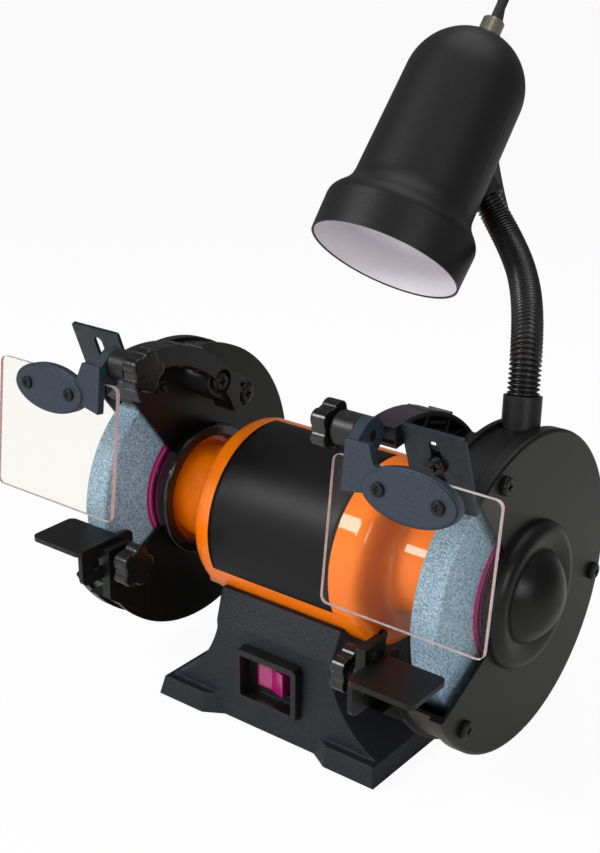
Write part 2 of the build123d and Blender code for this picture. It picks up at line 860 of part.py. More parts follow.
arm_foot_x = arm_inner_x + arm_width / 4
with BuildPart() as shield_arm:
    with BuildSketch(arm_plane(arm_inner_x)):
        add(arch(arm_outer_radius, arm_inner_radius, arm_rear_angle, arm_front_angle))
    extrude(amount=arm_width)
    with BuildSketch(arm_plane(arm_inner_x + arm_width)):
        pocket = arch(
            arm_outer_radius - arm_flange,
            arm_inner_radius + arm_flange,
            arm_rear_angle + 2 * arm_flange,
            arm_front_angle - 2 * arm_flange,
        )
        add(pocket)
    extrude(amount=arm_web - arm_width, mode=Mode.SUBTRACT)
    rib_step = (arm_front_angle - arm_rear_angle) / arm_rib_count
    with BuildSketch(arm_plane(arm_inner_x + arm_web / 2)):
        for i in range(arm_rib_count):
            low = polar(arm_inner_radius + arm_flange / 2, arm_rear_angle + (i + i % 2) * rib_step)
            high = polar(arm_outer_radius - arm_flange / 2, arm_rear_angle + (i + 1 - i % 2) * rib_step)
            span = Vector(*high) - Vector(*low)
            with Locations(((low[0] + high[0]) / 2, (low[1] + high[1]) / 2)):
                Rectangle(span.length, arm_rib_thickness, rotation=Vector(1, 0).get_signed_angle(span))
    extrude(amount=arm_width - arm_web / 2 - arm_rib_thickness / 2)
    with BuildSketch(side_plane(arm_lug_inner_x, pivot_y, pivot_z)):
        Circle(arm_lug_radius)
        front_y, front_z = polar(arm_mid_radius, arm_front_angle)
        with Locations((arm_middle_y + front_y - pivot_y, arm_middle_z + front_z - pivot_z)):
            Circle((arm_outer_radius - arm_inner_radius) / 2)
        make_hull()
    extrude(amount=arm_lug_width)
    with BuildSketch(side_plane(arm_inner_x + arm_web, arm_foot_y, arm_foot_z)):
        Circle(arm_foot_boss_radius)
        with Locations((arm_second_y - arm_foot_y, arm_second_z - arm_foot_z)):
            Circle(arm_foot_boss_radius)
        make_hull()
    extrude(amount=guard_inner_x - arm_inner_x - arm_web)
    with BuildSketch(side_plane(arm_lug_inner_x, pivot_y, pivot_z)):
        Circle(pivot_bolt_radius + fit_clearance)
    extrude(amount=arm_lug_width, mode=Mode.SUBTRACT)
    with BuildSketch(side_plane(arm_inner_x, arm_foot_y, arm_foot_z)):
        Circle(arm_screw_radius + fit_clearance)
        with Locations((arm_second_y - arm_foot_y, arm_second_z - arm_foot_z)):
            Circle(arm_screw_radius + fit_clearance)
    extrude(amount=guard_inner_x - arm_inner_x, mode=Mode.SUBTRACT)
    with BuildSketch(side_plane(arm_inner_x, arm_foot_y, arm_foot_z)):
        Circle(arm_screw_head_radius + 2 * arm_flange / 3)
        with Locations((arm_second_y - arm_foot_y, arm_second_z - arm_foot_z)):
            Circle(arm_screw_head_radius + 2 * arm_flange / 3)
    extrude(amount=arm_foot_x - arm_inner_x, mode=Mode.SUBTRACT)
keep_pair(shield_arm.part, "shield_arm")

with BuildPart() as arm_screws:
    for y, z in ((arm_foot_y, arm_foot_z), (arm_second_y, arm_second_z)):
        add(
            pan_screw(
                inward(side_plane(arm_foot_x, y, z)),
                arm_screw_head_radius,
                arm_screw_head_height,
                arm_screw_radius - fit_clearance,
                guard_inner_x + guard_wall - arm_foot_x,
            )
        )
keep_both(arm_screws.part, "arm_screws")


def knob(face_x, y, z, hub_height, stud_end_x):
    """Lobed clamp knob with its stud; the hub meets the face and the head is on the motor's side."""
    seat = inward(side_plane(face_x - seat_gap, y, z))
    with BuildPart() as piece:
        with BuildSketch(seat):
            Circle(knob_hub_radius)
        extrude(amount=hub_height)
        with BuildSketch(seat.offset(hub_height)):
            Circle(knob_core_radius)
            with PolarLocations(knob_lobe_ring, knob_lobes):
                Circle(knob_lobe_radius)
        extrude(amount=knob_height)
        fillet(piece.faces().sort_by(Axis.X)[0].edges(), knob_edge)
        with BuildSketch(seat):
            Circle(pivot_bolt_radius - fit_clearance)
        extrude(amount=-(stud_end_x - face_x))
    return piece.part


bracket_tab_outer_x = bracket_tab_inner_x + bracket_tab_width
keep_pair(knob(arm_lug_inner_x, pivot_y, pivot_z, knob_hub_height, bracket_tab_outer_x), "shield_knob")


def pane_plane(tilt):
    """Front face of an eye shield that leans back by this angle about the pivot."""
    up = Vector(0, sin(radians(tilt)), cos(radians(tilt)))
    front = Vector(0, -cos(radians(tilt)), sin(radians(tilt)))
    middle = Vector(pane_middle_x, pivot_y, pivot_z) - up * pane_drop + front * pane_forward
    return Plane(origin=middle, x_dir=(1, 0, 0), z_dir=front)


def shield_screw_spots():
    """Screw places on the pad, in the pane's own plane."""
    middle = pad_middle_x - pane_middle_x
    return [(middle + side * shield_screw_spacing / 2, pad_above_middle) for side in (-1, 1)]


def eye_pane(tilt):
    """Clear pane with two screw holes."""
    with BuildPart() as piece:
        with BuildSketch(pane_plane(tilt)):
            RectangleRounded(pane_width, pane_height, pane_corner)
            with Locations(*shield_screw_spots()):
                Circle(shield_screw_radius + fit_clearance, mode=Mode.SUBTRACT)
        extrude(amount=-pane_thickness)
    return piece.part


def shield_bracket(tilt):
    """Moulded bracket: an oval pad on the pane, a neck and a tab about the pivot."""
    face = pane_plane(tilt)
    front = face.z_dir
    tab_side = Plane(
        origin=(bracket_tab_inner_x, face.origin.Y, face.origin.Z), x_dir=front, z_dir=(-1, 0, 0)
    )
    neck_left = bracket_tab_inner_x - pane_middle_x
    with BuildPart() as piece:
        with BuildSketch(face):
            with Locations((pad_middle_x - pane_middle_x, pad_above_middle)):
                Ellipse(pad_length / 2, pad_height / 2)
            with BuildLine():
                Polyline(
                    (neck_left, pad_above_middle - pad_height / 4),
                    (neck_left + bracket_neck_width * 2, pad_above_middle),
                    (neck_left + bracket_neck_width, pane_drop - bracket_tab_radius),
                    (neck_left + bracket_neck_width * 0.8, pane_drop),
                    (neck_left, pane_drop),
                    close=True,
                )
            make_face()
        extrude(amount=bracket_thickness)
        with BuildSketch(face.offset(bracket_thickness)):
            with Locations((pad_middle_x - pane_middle_x, pad_above_middle)):
                Ellipse(pad_length / 2 - pad_rim_rise, pad_height / 2 - pad_rim_rise)
        extrude(amount=pad_rim_rise)
        with BuildSketch(tab_side):
            with Locations((-pane_forward, pane_drop)):
                Circle(bracket_tab_radius)
            with Locations((bracket_thickness / 2, pane_drop - bracket_thickness / 2)):
                Circle(bracket_thickness / 2)
            with Locations((bracket_thickness / 2, pane_drop - 2 * bracket_tab_radius)):
                Circle(bracket_thickness / 2)
            make_hull()
        extrude(amount=-bracket_tab_width)
        with BuildSketch(tab_side):
            with Locations((-pane_forward, pane_drop)):
                Circle(pivot_bolt_radius + fit_clearance)
        extrude(amount=-bracket_tab_width, mode=Mode.SUBTRACT)
        with BuildSketch(face):
            with Locations(*shield_screw_spots()):
                Circle(shield_screw_radius + fit_clearance)
        extrude(amount=bracket_thickness + pad_rim_rise, mode=Mode.SUBTRACT)
        with BuildSketch(face):
            with Locations((0, 0)):
                RectangleRounded(pane_width, pane_height, pane_corner)
        extrude(amount=-pane_thickness - seat_gap, mode=Mode.SUBTRACT)
    return piece.part


def shield_screws(tilt):
    """The two screws that hold the pane to its bracket."""
    face = pane_plane(tilt)
    with BuildPart() as piece:
        for u, v in shield_screw_spots():
            spot = face.from_local_coords((u, v, bracket_thickness + pad_rim_rise))
            add(
                pan_screw(
                    Plane(origin=spot, x_dir=(1, 0, 0), z_dir=face.z_dir),
                    shield_screw_head_radius,
                    shield_screw_head_height,
                    shield_screw_radius,
                    bracket_thickness + pad_rim_rise + pane_thickness,
                )
            )
    return piece.part


keep_pair(eye_pane(pane_tilt), "eye_shield")
keep_pair(shield_bracket(pane_tilt), "shield_bracket")
keep_pair(shield_screws(pane_tilt), "shield_screws")


def tool_rest(clamp_z):
    """Bent steel rest: a plate beside the wheel and a slotted tab at the clamp."""
    plate_top = clamp_z + rest_slot_drop
    plate_rear = -(wheel_radius + rest_wheel_gap)
    with BuildPart() as piece:
        with BuildSketch(side_plane(rest_inner_x, 0, clamp_z)):
            with Locations(((rest_tab_front + rest_tab_rear) / 2, rest_slot_drop - rest_tab_height / 2)):
                RectangleRounded(rest_tab_rear - rest_tab_front, rest_tab_height, rest_corner)
            with Locations(((rest_slot_front + rest_slot_rear) / 2, 0)):
                SlotOverall(rest_slot_rear - rest_slot_front, rest_slot_width, mode=Mode.SUBTRACT)
        extrude(amount=rest_thickness)
        with BuildSketch(Plane.XY.offset(plate_top - rest_thickness)):
            with Locations((rest_inner_x + rest_width / 2, plate_rear - rest_depth / 2)):
                RectangleRounded(rest_width, rest_depth, rest_corner)
        extrude(amount=rest_thickness)
    return piece.part


keep(tool_rest(clamp_z_right), "right_tool_rest")
keep(other_side(tool_rest(clamp_z_left)), "left_tool_rest")

clamp_hub_height = knob_hub_height * 3
clamp_nut_x = rest_inner_x + rest_thickness + seat_gap
clamp_stud_end = clamp_nut_x + clamp_nut_thickness
right_rest_knob = knob(lug_plate_x, clamp_y, clamp_z_right, clamp_hub_height, clamp_stud_end)
left_rest_knob = knob(lug_plate_x, clamp_y, clamp_z_left, clamp_hub_height, clamp_stud_end)
keep(right_rest_knob, "right_rest_knob")
keep(other_side(left_rest_knob), "left_rest_knob")


def clamp_nut(clamp_z):
    """Square nut behind the tool rest's tab."""
    with BuildPart() as piece:
        with BuildSketch(side_plane(clamp_nut_x, clamp_y, clamp_z)):
            Rectangle(clamp_nut_across, clamp_nut_across)
            Circle(clamp_bolt_radius, mode=Mode.SUBTRACT)
        extrude(amount=clamp_nut_thickness)
    return piece.part


clamp_nuts = [*clamp_nut(clamp_z_right).solids(), *other_side(clamp_nut(clamp_z_left)).solids()]
keep(Compound(children=clamp_nuts), "rest_clamp_nuts")

# Base: a hollow casting with a waist, a saddle for the motor and two long feet
saddle_radius = motor_radius + seat_gap
boss_floor = plate_bottom + plate_thickness
switch_middle = (bezel_low + bezel_high) / 2
bolt_spots = GridLocations(2 * bolt_x, 2 * bolt_y, 2, 2)
plate_screw_spots = GridLocations(2 * plate_screw_x, 2 * plate_screw_y, 2, 2)
motor_screw_spots = GridLocations(2 * motor_foot_x, 2 * motor_foot_y, 2, 2)
flare_x = waist_half_x * 0.73 + base_half_x * 0.27
flare_z = waist_height * 0.5 + foot_height * 0.5


def base_block(inset):
    """Waisted block of the base, set in by this much, with the motor's saddle cut away."""
    low = foot_height - inset / 2
    with BuildPart() as block:
        with BuildSketch(Plane.XZ.offset(-foot_half_y)):
            with BuildLine():
                for side in (-1, 1):
                    waist = (side * (waist_half_x - inset), waist_height)
                    Line((side * (saddle_half_x - inset), saddle_height), waist)
                    ThreePointArc(
                        waist,
                        (side * (flare_x - inset), flare_z),
                        (side * (base_half_x - inset), low),
                    )
                    Line((side * (base_half_x - inset), low), (side * (base_half_x - inset), base_floor))
                Line((saddle_half_x - inset, saddle_height), (inset - saddle_half_x, saddle_height))
                Line((base_half_x - inset, base_floor), (inset - base_half_x, base_floor))
            make_face()
        extrude(amount=2 * foot_half_y)
        with BuildSketch(Plane.YZ.offset(-foot_half_x)):
            with BuildLine():
                Polyline(
                    (inset - base_half_y, base_floor),
                    (inset - shoulder_half_y, shoulder_height),
                    (inset - saddle_half_y, saddle_height),
                    (saddle_half_y - inset, saddle_height),
                    (shoulder_half_y - inset, shoulder_height),
                    (base_half_y - inset, base_floor),
                    close=True,
                )
            make_face()
        extrude(amount=2 * foot_half_x, mode=Mode.INTERSECT)
        with BuildSketch(side_plane(-foot_half_x)):
            Circle(saddle_radius + inset)
        extrude(amount=2 * foot_half_x, mode=Mode.SUBTRACT)
    return block.part


with BuildPart() as base_hollow:
    add(base_block(base_wall))
    with BuildSketch(Plane.XY.offset(boss_floor)):
        with bolt_spots:
            Circle(boss_radius)
        with plate_screw_spots:
            Circle(plate_boss_radius)
    extrude(amount=saddle_height, mode=Mode.SUBTRACT)

with BuildPart() as long_foot:
    with BuildSketch(Plane.XY.offset(base_floor)):
        with BuildLine():
            Polyline(
                (foot_half_x, -foot_half_y),
                (foot_half_x, foot_half_y),
                (foot_bevel_x, foot_half_y),
                (foot_inner_x, base_half_y),
                (foot_inner_x, -base_half_y),
                (foot_bevel_x, -foot_half_y),
                close=True,
            )
        make_face()
    extrude(amount=foot_height - base_floor, taper=foot_taper)

with BuildPart() as base_casting:
    add(base_block(0))
    add(long_foot.part)
    add(other_side(long_foot.part))
    add(base_hollow.part, mode=Mode.SUBTRACT)
    with BuildSketch(Plane.XY.offset(base_floor)):
        with bolt_spots:
            Circle(bench_bolt_radius)
        with plate_screw_spots:
            Circle(plate_screw_radius)
    extrude(amount=bolt_hole_depth, mode=Mode.SUBTRACT)
    with BuildSketch(Plane.XY.offset(motor_screw_seat)):
        with motor_screw_spots:
            Circle(motor_screw_radius)
    extrude(amount=motor_screw_length, mode=Mode.SUBTRACT)
    with BuildSketch(Plane.XY.offset(motor_screw_seat)):
        with motor_screw_spots:
            Circle(motor_screw_head_radius + 0.5)
    extrude(amount=-motor_screw_length, mode=Mode.SUBTRACT)
    with BuildSketch(Plane.XZ.offset(-bezel_front)):
        with Locations((0, switch_middle)):
            RectangleRounded(
                2 * (bezel_half_x + seat_gap), bezel_high - bezel_low + 2 * seat_gap, bezel_corner + seat_gap
            )
    extrude(amount=-bezel_depth - 2 * base_wall, mode=Mode.SUBTRACT)
    with BuildSketch(Plane.XZ.offset(-gland_flange_y)):
        with Locations((-gland_x, gland_height), (gland_x, gland_height)):
            Circle(gland_body_radius + seat_gap)
    extrude(amount=gland_flange_y - gland_inner_y, mode=Mode.SUBTRACT)
keep(base_casting.part, "base_casting")

with BuildPart() as base_plate:
    with BuildSketch(Plane.XY.offset(plate_bottom)):
        plate_half_x = base_half_x - base_wall - 0.5
        plate_half_y = base_half_y - base_wall - 0.7
        RectangleRounded(2 * plate_half_x, 2 * plate_half_y, bezel_corner)
        with bolt_spots:
            Circle(bench_bolt_radius, mode=Mode.SUBTRACT)
        with plate_screw_spots:
            Circle(plate_screw_radius, mode=Mode.SUBTRACT)
    extrude(amount=plate_thickness)
keep(base_plate.part, "base_plate")

with BuildPart() as base_plate_screws:
    with BuildSketch(Plane.XY.offset(plate_bottom)):
        with plate_screw_spots:
            Circle(plate_screw_head_radius)
    extrude(amount=-plate_screw_head_height)
    with BuildSketch(Plane.XY.offset(plate_bottom)):
        with plate_screw_spots:
            Circle(plate_screw_radius - fit_clearance)
    extrude(amount=plate_screw_length)
keep(base_plate_screws.part, "base_plate_screws")

with BuildPart() as rubber_feet:
    with BuildSketch(Plane.XY):
        with bolt_spots:
            Circle(pad_foot_radius)
            Circle(bench_bolt_radius, mode=Mode.SUBTRACT)
    extrude(amount=plate_bottom)
keep(rubber_feet.part, "rubber_feet")

with BuildPart() as motor_screws:
    with BuildSketch(Plane.XY.offset(motor_screw_seat)):
        with motor_screw_spots:
            Circle(motor_screw_head_radius)
    extrude(amount=-motor_screw_head_height)
    with BuildSketch(Plane.XY.offset(motor_screw_seat)):
        with motor_screw_spots:
            Circle(motor_screw_radius - fit_clearance)
    extrude(amount=motor_screw_length)
keep(motor_screws.part, "motor_screws")

# Switch: a framed housing in the front wall, with a rocker on two pins
with BuildPart() as switch_housing:
    with BuildSketch(Plane.XZ.offset(-bezel_front)):
        with Locations((0, switch_middle)):
            RectangleRounded(2 * bezel_half_x, bezel_high - bezel_low, bezel_corner)
    extrude(amount=-bezel_depth)
    with BuildSketch(Plane.XZ.offset(-bezel_front)):
        with Locations((0, switch_middle)):
            RectangleRounded(
                2 * (bezel_half_x - bezel_wall), bezel_high - bezel_low - 2 * bezel_wall, bezel_corner / 2
            )
    extrude(amount=bezel_floor - bezel_depth, mode=Mode.SUBTRACT)
    with BuildSketch(Plane.XZ.offset(-bezel_front - bezel_depth)):
        with Locations((0, switch_middle)):
            Rectangle(2 * switch_half_x, 2 * switch_half_z)
    extrude(amount=bezel_front + bezel_depth - switch_back)
    with BuildSketch(Plane.XZ.offset(-bezel_front)):
        with Locations((0, switch_middle)):
            Rectangle(2 * (switch_half_x - switch_wall), 2 * (switch_half_z - switch_wall))
    extrude(amount=bezel_front - switch_back + switch_wall, mode=Mode.SUBTRACT)
    with BuildSketch(Plane(origin=(0, rocker_pivot_y, switch_middle - switch_half_z), z_dir=(0, 0, 1))):
        Circle(rocker_pin_radius + seat_gap)
    extrude(amount=2 * switch_half_z, mode=Mode.SUBTRACT)
keep(switch_housing.part, "switch_housing")


def rocker_plane(half):
    """Plan of the rocker in its resting turn, this far below the middle of the switch."""
    turn = radians(-rocker_rest_angle)
    return Plane(
        origin=(0, rocker_pivot_y, switch_middle - half), x_dir=(cos(turn), sin(turn), 0), z_dir=(0, 0, 1)
    )


rocker_pin_half = switch_half_z - 2 * seat_gap
with BuildPart() as switch_rocker:
    with BuildSketch(rocker_plane(rocker_half_z)):
        with BuildLine():
            Polyline(
                (-rocker_half_x, -rocker_rise),
                (0, rocker_dip - rocker_rise),
                (rocker_half_x, -rocker_rise),
                (rocker_half_x - rocker_dip, 0),
                (rocker_half_x / 3, rocker_rise / 2),
                (-rocker_half_x / 3, rocker_rise / 2),
                (rocker_dip - rocker_half_x, 0),
                close=True,
            )
        make_face()
    extrude(amount=2 * rocker_half_z)
    with BuildSketch(rocker_plane(rocker_pin_half)):
        Circle(rocker_pin_radius)
    extrude(amount=2 * rocker_pin_half)
keep(switch_rocker.part, "switch_rocker")

with BuildPart() as capacitor:
    capacitor_z = boss_floor + capacitor_radius + seat_gap
    with BuildSketch(side_plane(-capacitor_length / 2, capacitor_y, capacitor_z)):
        Circle(capacitor_radius)
    extrude(amount=capacitor_length)
    fillet(capacitor.edges().filter_by(GeomType.CIRCLE), bezel_corner / 2)
keep(capacitor.part, "capacitor")

with BuildPart() as cord_gland:
    for start, end, radius in (
        (gland_inner_y, gland_seat_y, gland_body_radius),
        (gland_seat_y, gland_flange_y, gland_flange_radius),
        (gland_flange_y, gland_nose_y, gland_nose_radius),
    ):
        with BuildSketch(Plane.XZ.offset(-end)):
            with Locations((gland_x, gland_height)):
                Circle(radius)
                Circle(gland_bore, mode=Mode.SUBTRACT)
        extrude(amount=end - start)
keep_both(cord_gland.part, "cord_glands")

# Work light: everything is drawn about the shade's own axis, from the mouth up
shade_up = -shade_axis
shade_across = (Vector(1, 0, 0) - shade_up * shade_up.X).normalized()
shade_section = Plane(origin=shade_mouth, x_dir=shade_across, z_dir=shade_across.cross(shade_up))
shade_line = Axis(shade_mouth, shade_up)
crown_middle = shade_length - shade_body_radius


def shade_level(height):
    """Plane square to the shade's axis, this far above the mouth."""
    return Plane(origin=shade_mouth + shade_up * height, x_dir=shade_across, z_dir=shade_up)


def shade_core(inset):
    """Turned solid of the shade's outline, set in by this much."""
    body = shade_body_radius - inset
    neck = shade_neck_radius - inset
    flare = shade_flare_radius - inset
    mouth = shade_mouth_radius - inset
    with BuildPart() as core:
        with BuildSketch(shade_section):
            with BuildLine():
                CenterArc((0, crown_middle), body, 0, 90)
                Line((body, crown_middle), (neck, shade_flare_start))
                Bezier(
                    (neck, shade_flare_start),
                    (neck, shade_flare_start * 0.7),
                    (flare, shade_flare_length * 1.4),
                    (flare, shade_flare_length),
                )
                Polyline((flare, shade_flare_length), (mouth, 0), (0, 0), (0, crown_middle + body))
            make_face()
        revolve(axis=shade_line)
    return core.part


with BuildPart() as lamp_shade:
    add(shade_core(0))
    add(shade_core(shade_wall), mode=Mode.SUBTRACT)
    with BuildSketch(shade_level(crown_middle)):
        Circle(nipple_radius + 2 * seat_gap)
    extrude(amount=shade_length, mode=Mode.SUBTRACT)
keep(lamp_shade.part, "lamp_shade")

with BuildPart() as lamp_socket:
    with BuildSketch(shade_level(socket_foot)):
        Circle(socket_radius)
    extrude(amount=socket_top - socket_foot)
    with BuildSketch(shade_level(socket_top)):
        Circle(nipple_radius)
    extrude(amount=nipple_top - socket_top)
    with BuildSketch(shade_level(socket_foot)):
        Circle(bulb_neck_radius + 2 * seat_gap)
    extrude(amount=socket_bore_depth, mode=Mode.SUBTRACT)
keep(lamp_socket.part, "lamp_socket")

bulb_join = bulb_radius * sin(radians(45))
with BuildPart() as lamp_bulb:
    with BuildSketch(shade_section):
        with BuildLine():
            CenterArc((0, bulb_middle), bulb_radius, -90, 135)
            Polyline(
                (bulb_join, bulb_middle + bulb_join),
                (bulb_neck_radius, bulb_neck_start),
                (bulb_neck_radius, socket_foot + socket_bore_depth - 5 * seat_gap),
                (0, socket_foot + socket_bore_depth - 5 * seat_gap),
                (0, bulb_middle - bulb_radius),
            )
        make_face()
    revolve(axis=shade_line)
keep(lamp_bulb.part, "lamp_bulb")

with BuildPart() as cord_grip:
    with BuildSketch(shade_level(grip_foot)):
        Circle(grip_radius)
        Circle(cord_radius + seat_gap, mode=Mode.SUBTRACT)
    extrude(amount=grip_top - grip_foot)
    with BuildSketch(shade_level(grip_foot)):
        Circle(nipple_radius + seat_gap)
    extrude(amount=(grip_top - grip_foot) / 2, mode=Mode.SUBTRACT)
keep(cord_grip.part, "cord_grip")

# Gooseneck: a ribbed hose from the right guard to the shade
neck_out = (neck_lift - neck_start).normalized()
neck_in = (neck_end - neck_swing).normalized()
neck_side = neck_out.cross(neck_in).normalized()
with BuildLine() as neck_line:
    Line(neck_start, neck_start + neck_out * neck_end_length)
    Bezier(
        neck_start + neck_out * neck_end_length, neck_lift, neck_swing, neck_end - neck_in * neck_end_length
    )
    Line(neck_end - neck_in * neck_end_length, neck_end)
neck_wire = neck_line.wire()


def neck_ring(share, radius):
    """Circle square to the neck, this share of its length along."""
    spot = neck_wire.position_at(share, position_mode=PositionMode.PARAMETER)
    ahead = neck_wire.tangent_at(share, position_mode=PositionMode.PARAMETER)
    across = (neck_side - ahead * neck_side.dot(ahead)).normalized()
    with BuildSketch(Plane(origin=spot, x_dir=across, z_dir=ahead)) as outline:
        Circle(radius)
    return outline.sketch


neck_rings = []
for i in range(neck_ribs):
    for step, radius in (
        (0.0, neck_radius_valley),
        (0.3, neck_radius_crest),
        (0.7, neck_radius_crest),
        (0.95, neck_radius_valley),
    ):
        neck_rings.append(neck_ring((i + step) / neck_ribs, radius))
bore_rings = [neck_ring(i / neck_ribs, neck_bore) for i in range(neck_ribs + 1)]
neck_rings.append(neck_ring(1.0, neck_radius_valley))
with BuildPart() as gooseneck:
    loft(neck_rings, ruled=True)
    loft(bore_rings, ruled=True, mode=Mode.SUBTRACT)
keep(gooseneck.part, "gooseneck")

with BuildPart() as neck_collar:
    with BuildSketch(Plane(origin=neck_start - neck_out * collar_sink, z_dir=neck_out)):
        Circle(collar_radius)
    extrude(amount=collar_sink + collar_grip)
    with BuildSketch(Plane(origin=neck_start, z_dir=neck_out)):
        Circle(neck_radius_crest + neck_clearance)
    extrude(amount=collar_grip, mode=Mode.SUBTRACT)
    with BuildSketch(side_plane(guard_inner_x - collar_radius)):
        Circle(guard_radius + seat_gap)
    extrude(amount=4 * collar_radius, mode=Mode.SUBTRACT)
    with BuildSketch(side_plane(guard_inner_x - collar_radius)):
        Circle(guard_radius + guard_lip_rise + seat_gap)
    extrude(amount=collar_radius + guard_lip_width + seat_gap, mode=Mode.SUBTRACT)
    with BuildSketch(side_plane(guard_outer_x - cover_skirt_length - seat_gap)):
        Circle(skirt_radius + seat_gap)
    extrude(amount=cover_skirt_length, mode=Mode.SUBTRACT)
keep(neck_collar.part, "neck_collar")

elbow_branch = neck_end + neck_in * elbow_branch_at
branch_height = (elbow_branch - shade_mouth).dot(shade_up)
branch_target = shade_mouth + shade_up * branch_height
with BuildPart() as lamp_elbow:
    with BuildSketch(Plane(origin=neck_end - neck_in * elbow_before, z_dir=neck_in)):
        Circle(elbow_radius)
    extrude(amount=elbow_before + elbow_after)
    fillet(lamp_elbow.edges().filter_by(GeomType.CIRCLE).sort_by(Axis(neck_end, neck_in))[-1], bezel_corner)
    with BuildSketch(Plane(origin=elbow_branch, z_dir=branch_target - elbow_branch)):
        Circle(elbow_branch_radius)
    extrude(amount=(branch_target - elbow_branch).length)
    with BuildSketch(Plane(origin=neck_end, z_dir=neck_in)):
        Circle(neck_radius_crest + neck_clearance)
    extrude(amount=-elbow_before, mode=Mode.SUBTRACT)
    add(shade_core(-elbow_seat), mode=Mode.SUBTRACT)
keep(lamp_elbow.part, "lamp_elbow")

# Lamp lead: from the grip on the shade, over and down behind the guard to its gland
cord_points = [
    Vector(*point)
    for point in (
        (17.5, 128.4, 387.5),
        (18.3, 146, 409.3),
        (16, 167, 431),
        (5, 191, 447),
        (-13, 214, 449),
        (-29, 231, 434),
        (-36, 236, 410),
        (-36, 227, 384),
        (-29, 208, 356),
        (-15, 184, 328),
        (3, 161, 303),
        (22, 141, 282),
        (41, 124, 263),
        (58, 107, 245),
        (72, 91, 226),
        (82, 77, 205),
        (88, 69, 181),
        (90, 66, 155),
        (88, 67, 128),
        (84, 80, 104),
        (76, 94, 82),
        (65, 105, 63),
        (53, 110, 47),
        (42, 108, 36),
        (34, 100, 30),
        (30.5, 88, 28),
        (30, 75, 28),
    )
]
cord_bends = []
for before, here, after in zip(cord_points, cord_points[1:], cord_points[2:]):
    half_turn = radians((here - before).get_angle(after - here)) / 2
    cord_bends.append(0.45 * min((here - before).length, (after - here).length) / tan(half_turn))
with BuildPart() as lamp_cord:
    with BuildLine() as cord_line:
        FilletPolyline(*cord_points, radius=cord_bends)
    with BuildSketch(Plane(origin=cord_line.line @ 0, z_dir=cord_line.line % 0)):
        Circle(cord_radius)
    sweep(path=cord_line.line)
keep(lamp_cord.part, "lamp_cord")
print("cord bends", round(min(cord_bends), 1), "to", round(max(cord_bends), 1))
cord_length = sum(edge.length for edge in cord_line.edges())
print("cord length", round(cord_length, 1))
print("cord volume", round(lamp_cord.part.volume), round(cord_length * pi * cord_radius**2))
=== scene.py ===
"""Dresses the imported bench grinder: finishes, label, lining, shield edges, ribbed neck, lead and stage."""

import math

import bmesh
import bpy
from bpy.props import FloatProperty, FloatVectorProperty, IntProperty, PointerProperty
from mathutils import Matrix, Quaternion, Vector
from mathutils.geometry import interpolate_bezier


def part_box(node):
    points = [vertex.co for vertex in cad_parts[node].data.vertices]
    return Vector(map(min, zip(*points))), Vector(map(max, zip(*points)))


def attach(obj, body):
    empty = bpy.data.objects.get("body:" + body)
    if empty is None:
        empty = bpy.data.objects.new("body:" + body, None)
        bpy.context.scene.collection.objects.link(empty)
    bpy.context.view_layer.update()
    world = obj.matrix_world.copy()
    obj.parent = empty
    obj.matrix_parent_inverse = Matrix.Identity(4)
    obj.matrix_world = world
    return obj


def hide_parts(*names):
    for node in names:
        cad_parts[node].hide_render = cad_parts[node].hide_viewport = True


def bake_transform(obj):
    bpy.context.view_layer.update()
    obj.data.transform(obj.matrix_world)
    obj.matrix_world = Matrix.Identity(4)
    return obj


bl_info = {
    "name": "Bench Grinder Dressing",
    "version": (1, 0, 0),
    "blender": (4, 5, 0),
    "location": "View3D > Sidebar > Grinder",
    "description": "Finishes and fittings of a bench grinder with a flexible work light",
    "category": "Object",
}

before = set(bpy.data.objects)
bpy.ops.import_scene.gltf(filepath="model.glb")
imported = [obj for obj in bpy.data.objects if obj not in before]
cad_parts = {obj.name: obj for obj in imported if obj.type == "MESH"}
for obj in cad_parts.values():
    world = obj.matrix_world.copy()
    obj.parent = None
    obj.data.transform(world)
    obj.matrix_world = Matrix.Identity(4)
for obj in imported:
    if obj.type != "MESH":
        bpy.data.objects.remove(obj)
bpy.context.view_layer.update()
SPINDLE = Vector((0.0, 0.0, 0.112))

# Lamp and neck, repeated from the part's source in metres
SHADE_MOUTH = Vector((0.013, 0.031, 0.267))
SHADE_UP = Vector((0.029, 0.628, 0.777)).normalized()
NECK_START = Vector((0.112, 0.016, 0.204))
NECK_LIFT = Vector((0.1054, 0.0301, 0.2675))
NECK_SWING = Vector((0.0606, 0.1087, 0.2507))
NECK_END = Vector((0.0231, 0.1113, 0.2977))
NECK_STUB = 0.017
NECK_HOLD = 0.012
NECK_END_HANDLE = 0.005

# Shade profile inside its wall, as radius and height above the mouth, in metres
SHADE_WALL = 0.00135
FLARE_RADIUS = 0.0448
WAIST_RADIUS = 0.0358
MOUTH_RADIUS = 0.0442
MOUTH_LIP = 0.0006
BODY_RADIUS = 0.035
FLARE_TOP = 0.021
WAIST_BEND = 0.0294
WAIST_TOP = 0.042
DOME_FOOT = 0.110
DOME_STOPS = (15, 30, 45, 60, 70)
STEP_POINTS = 14
ROUND_STEPS = 96
LINING_COAT = 0.0001

# Shield pane about its clamp stud, and its frosted edge with a painted highlight, in metres
PANE_STUD = Vector((0.1185, -0.084, 0.217))
PANE_DROP = 0.0486
PANE_FORWARD = 0.0094
PANE_SIZE = Vector((0.093, 0.077, 0.0025))
PANE_CORNER = 0.004
PANE_TILT = math.radians(7.0)
EDGE_PROUD = 0.00002
EDGE_WALL = 0.00015

LABEL_LIFT = 0.00005
LABEL_FILM = 0.00018
LABEL_STEPS = 64
LABEL_CUTS = 30
MERGE_WITHIN = 1e-6

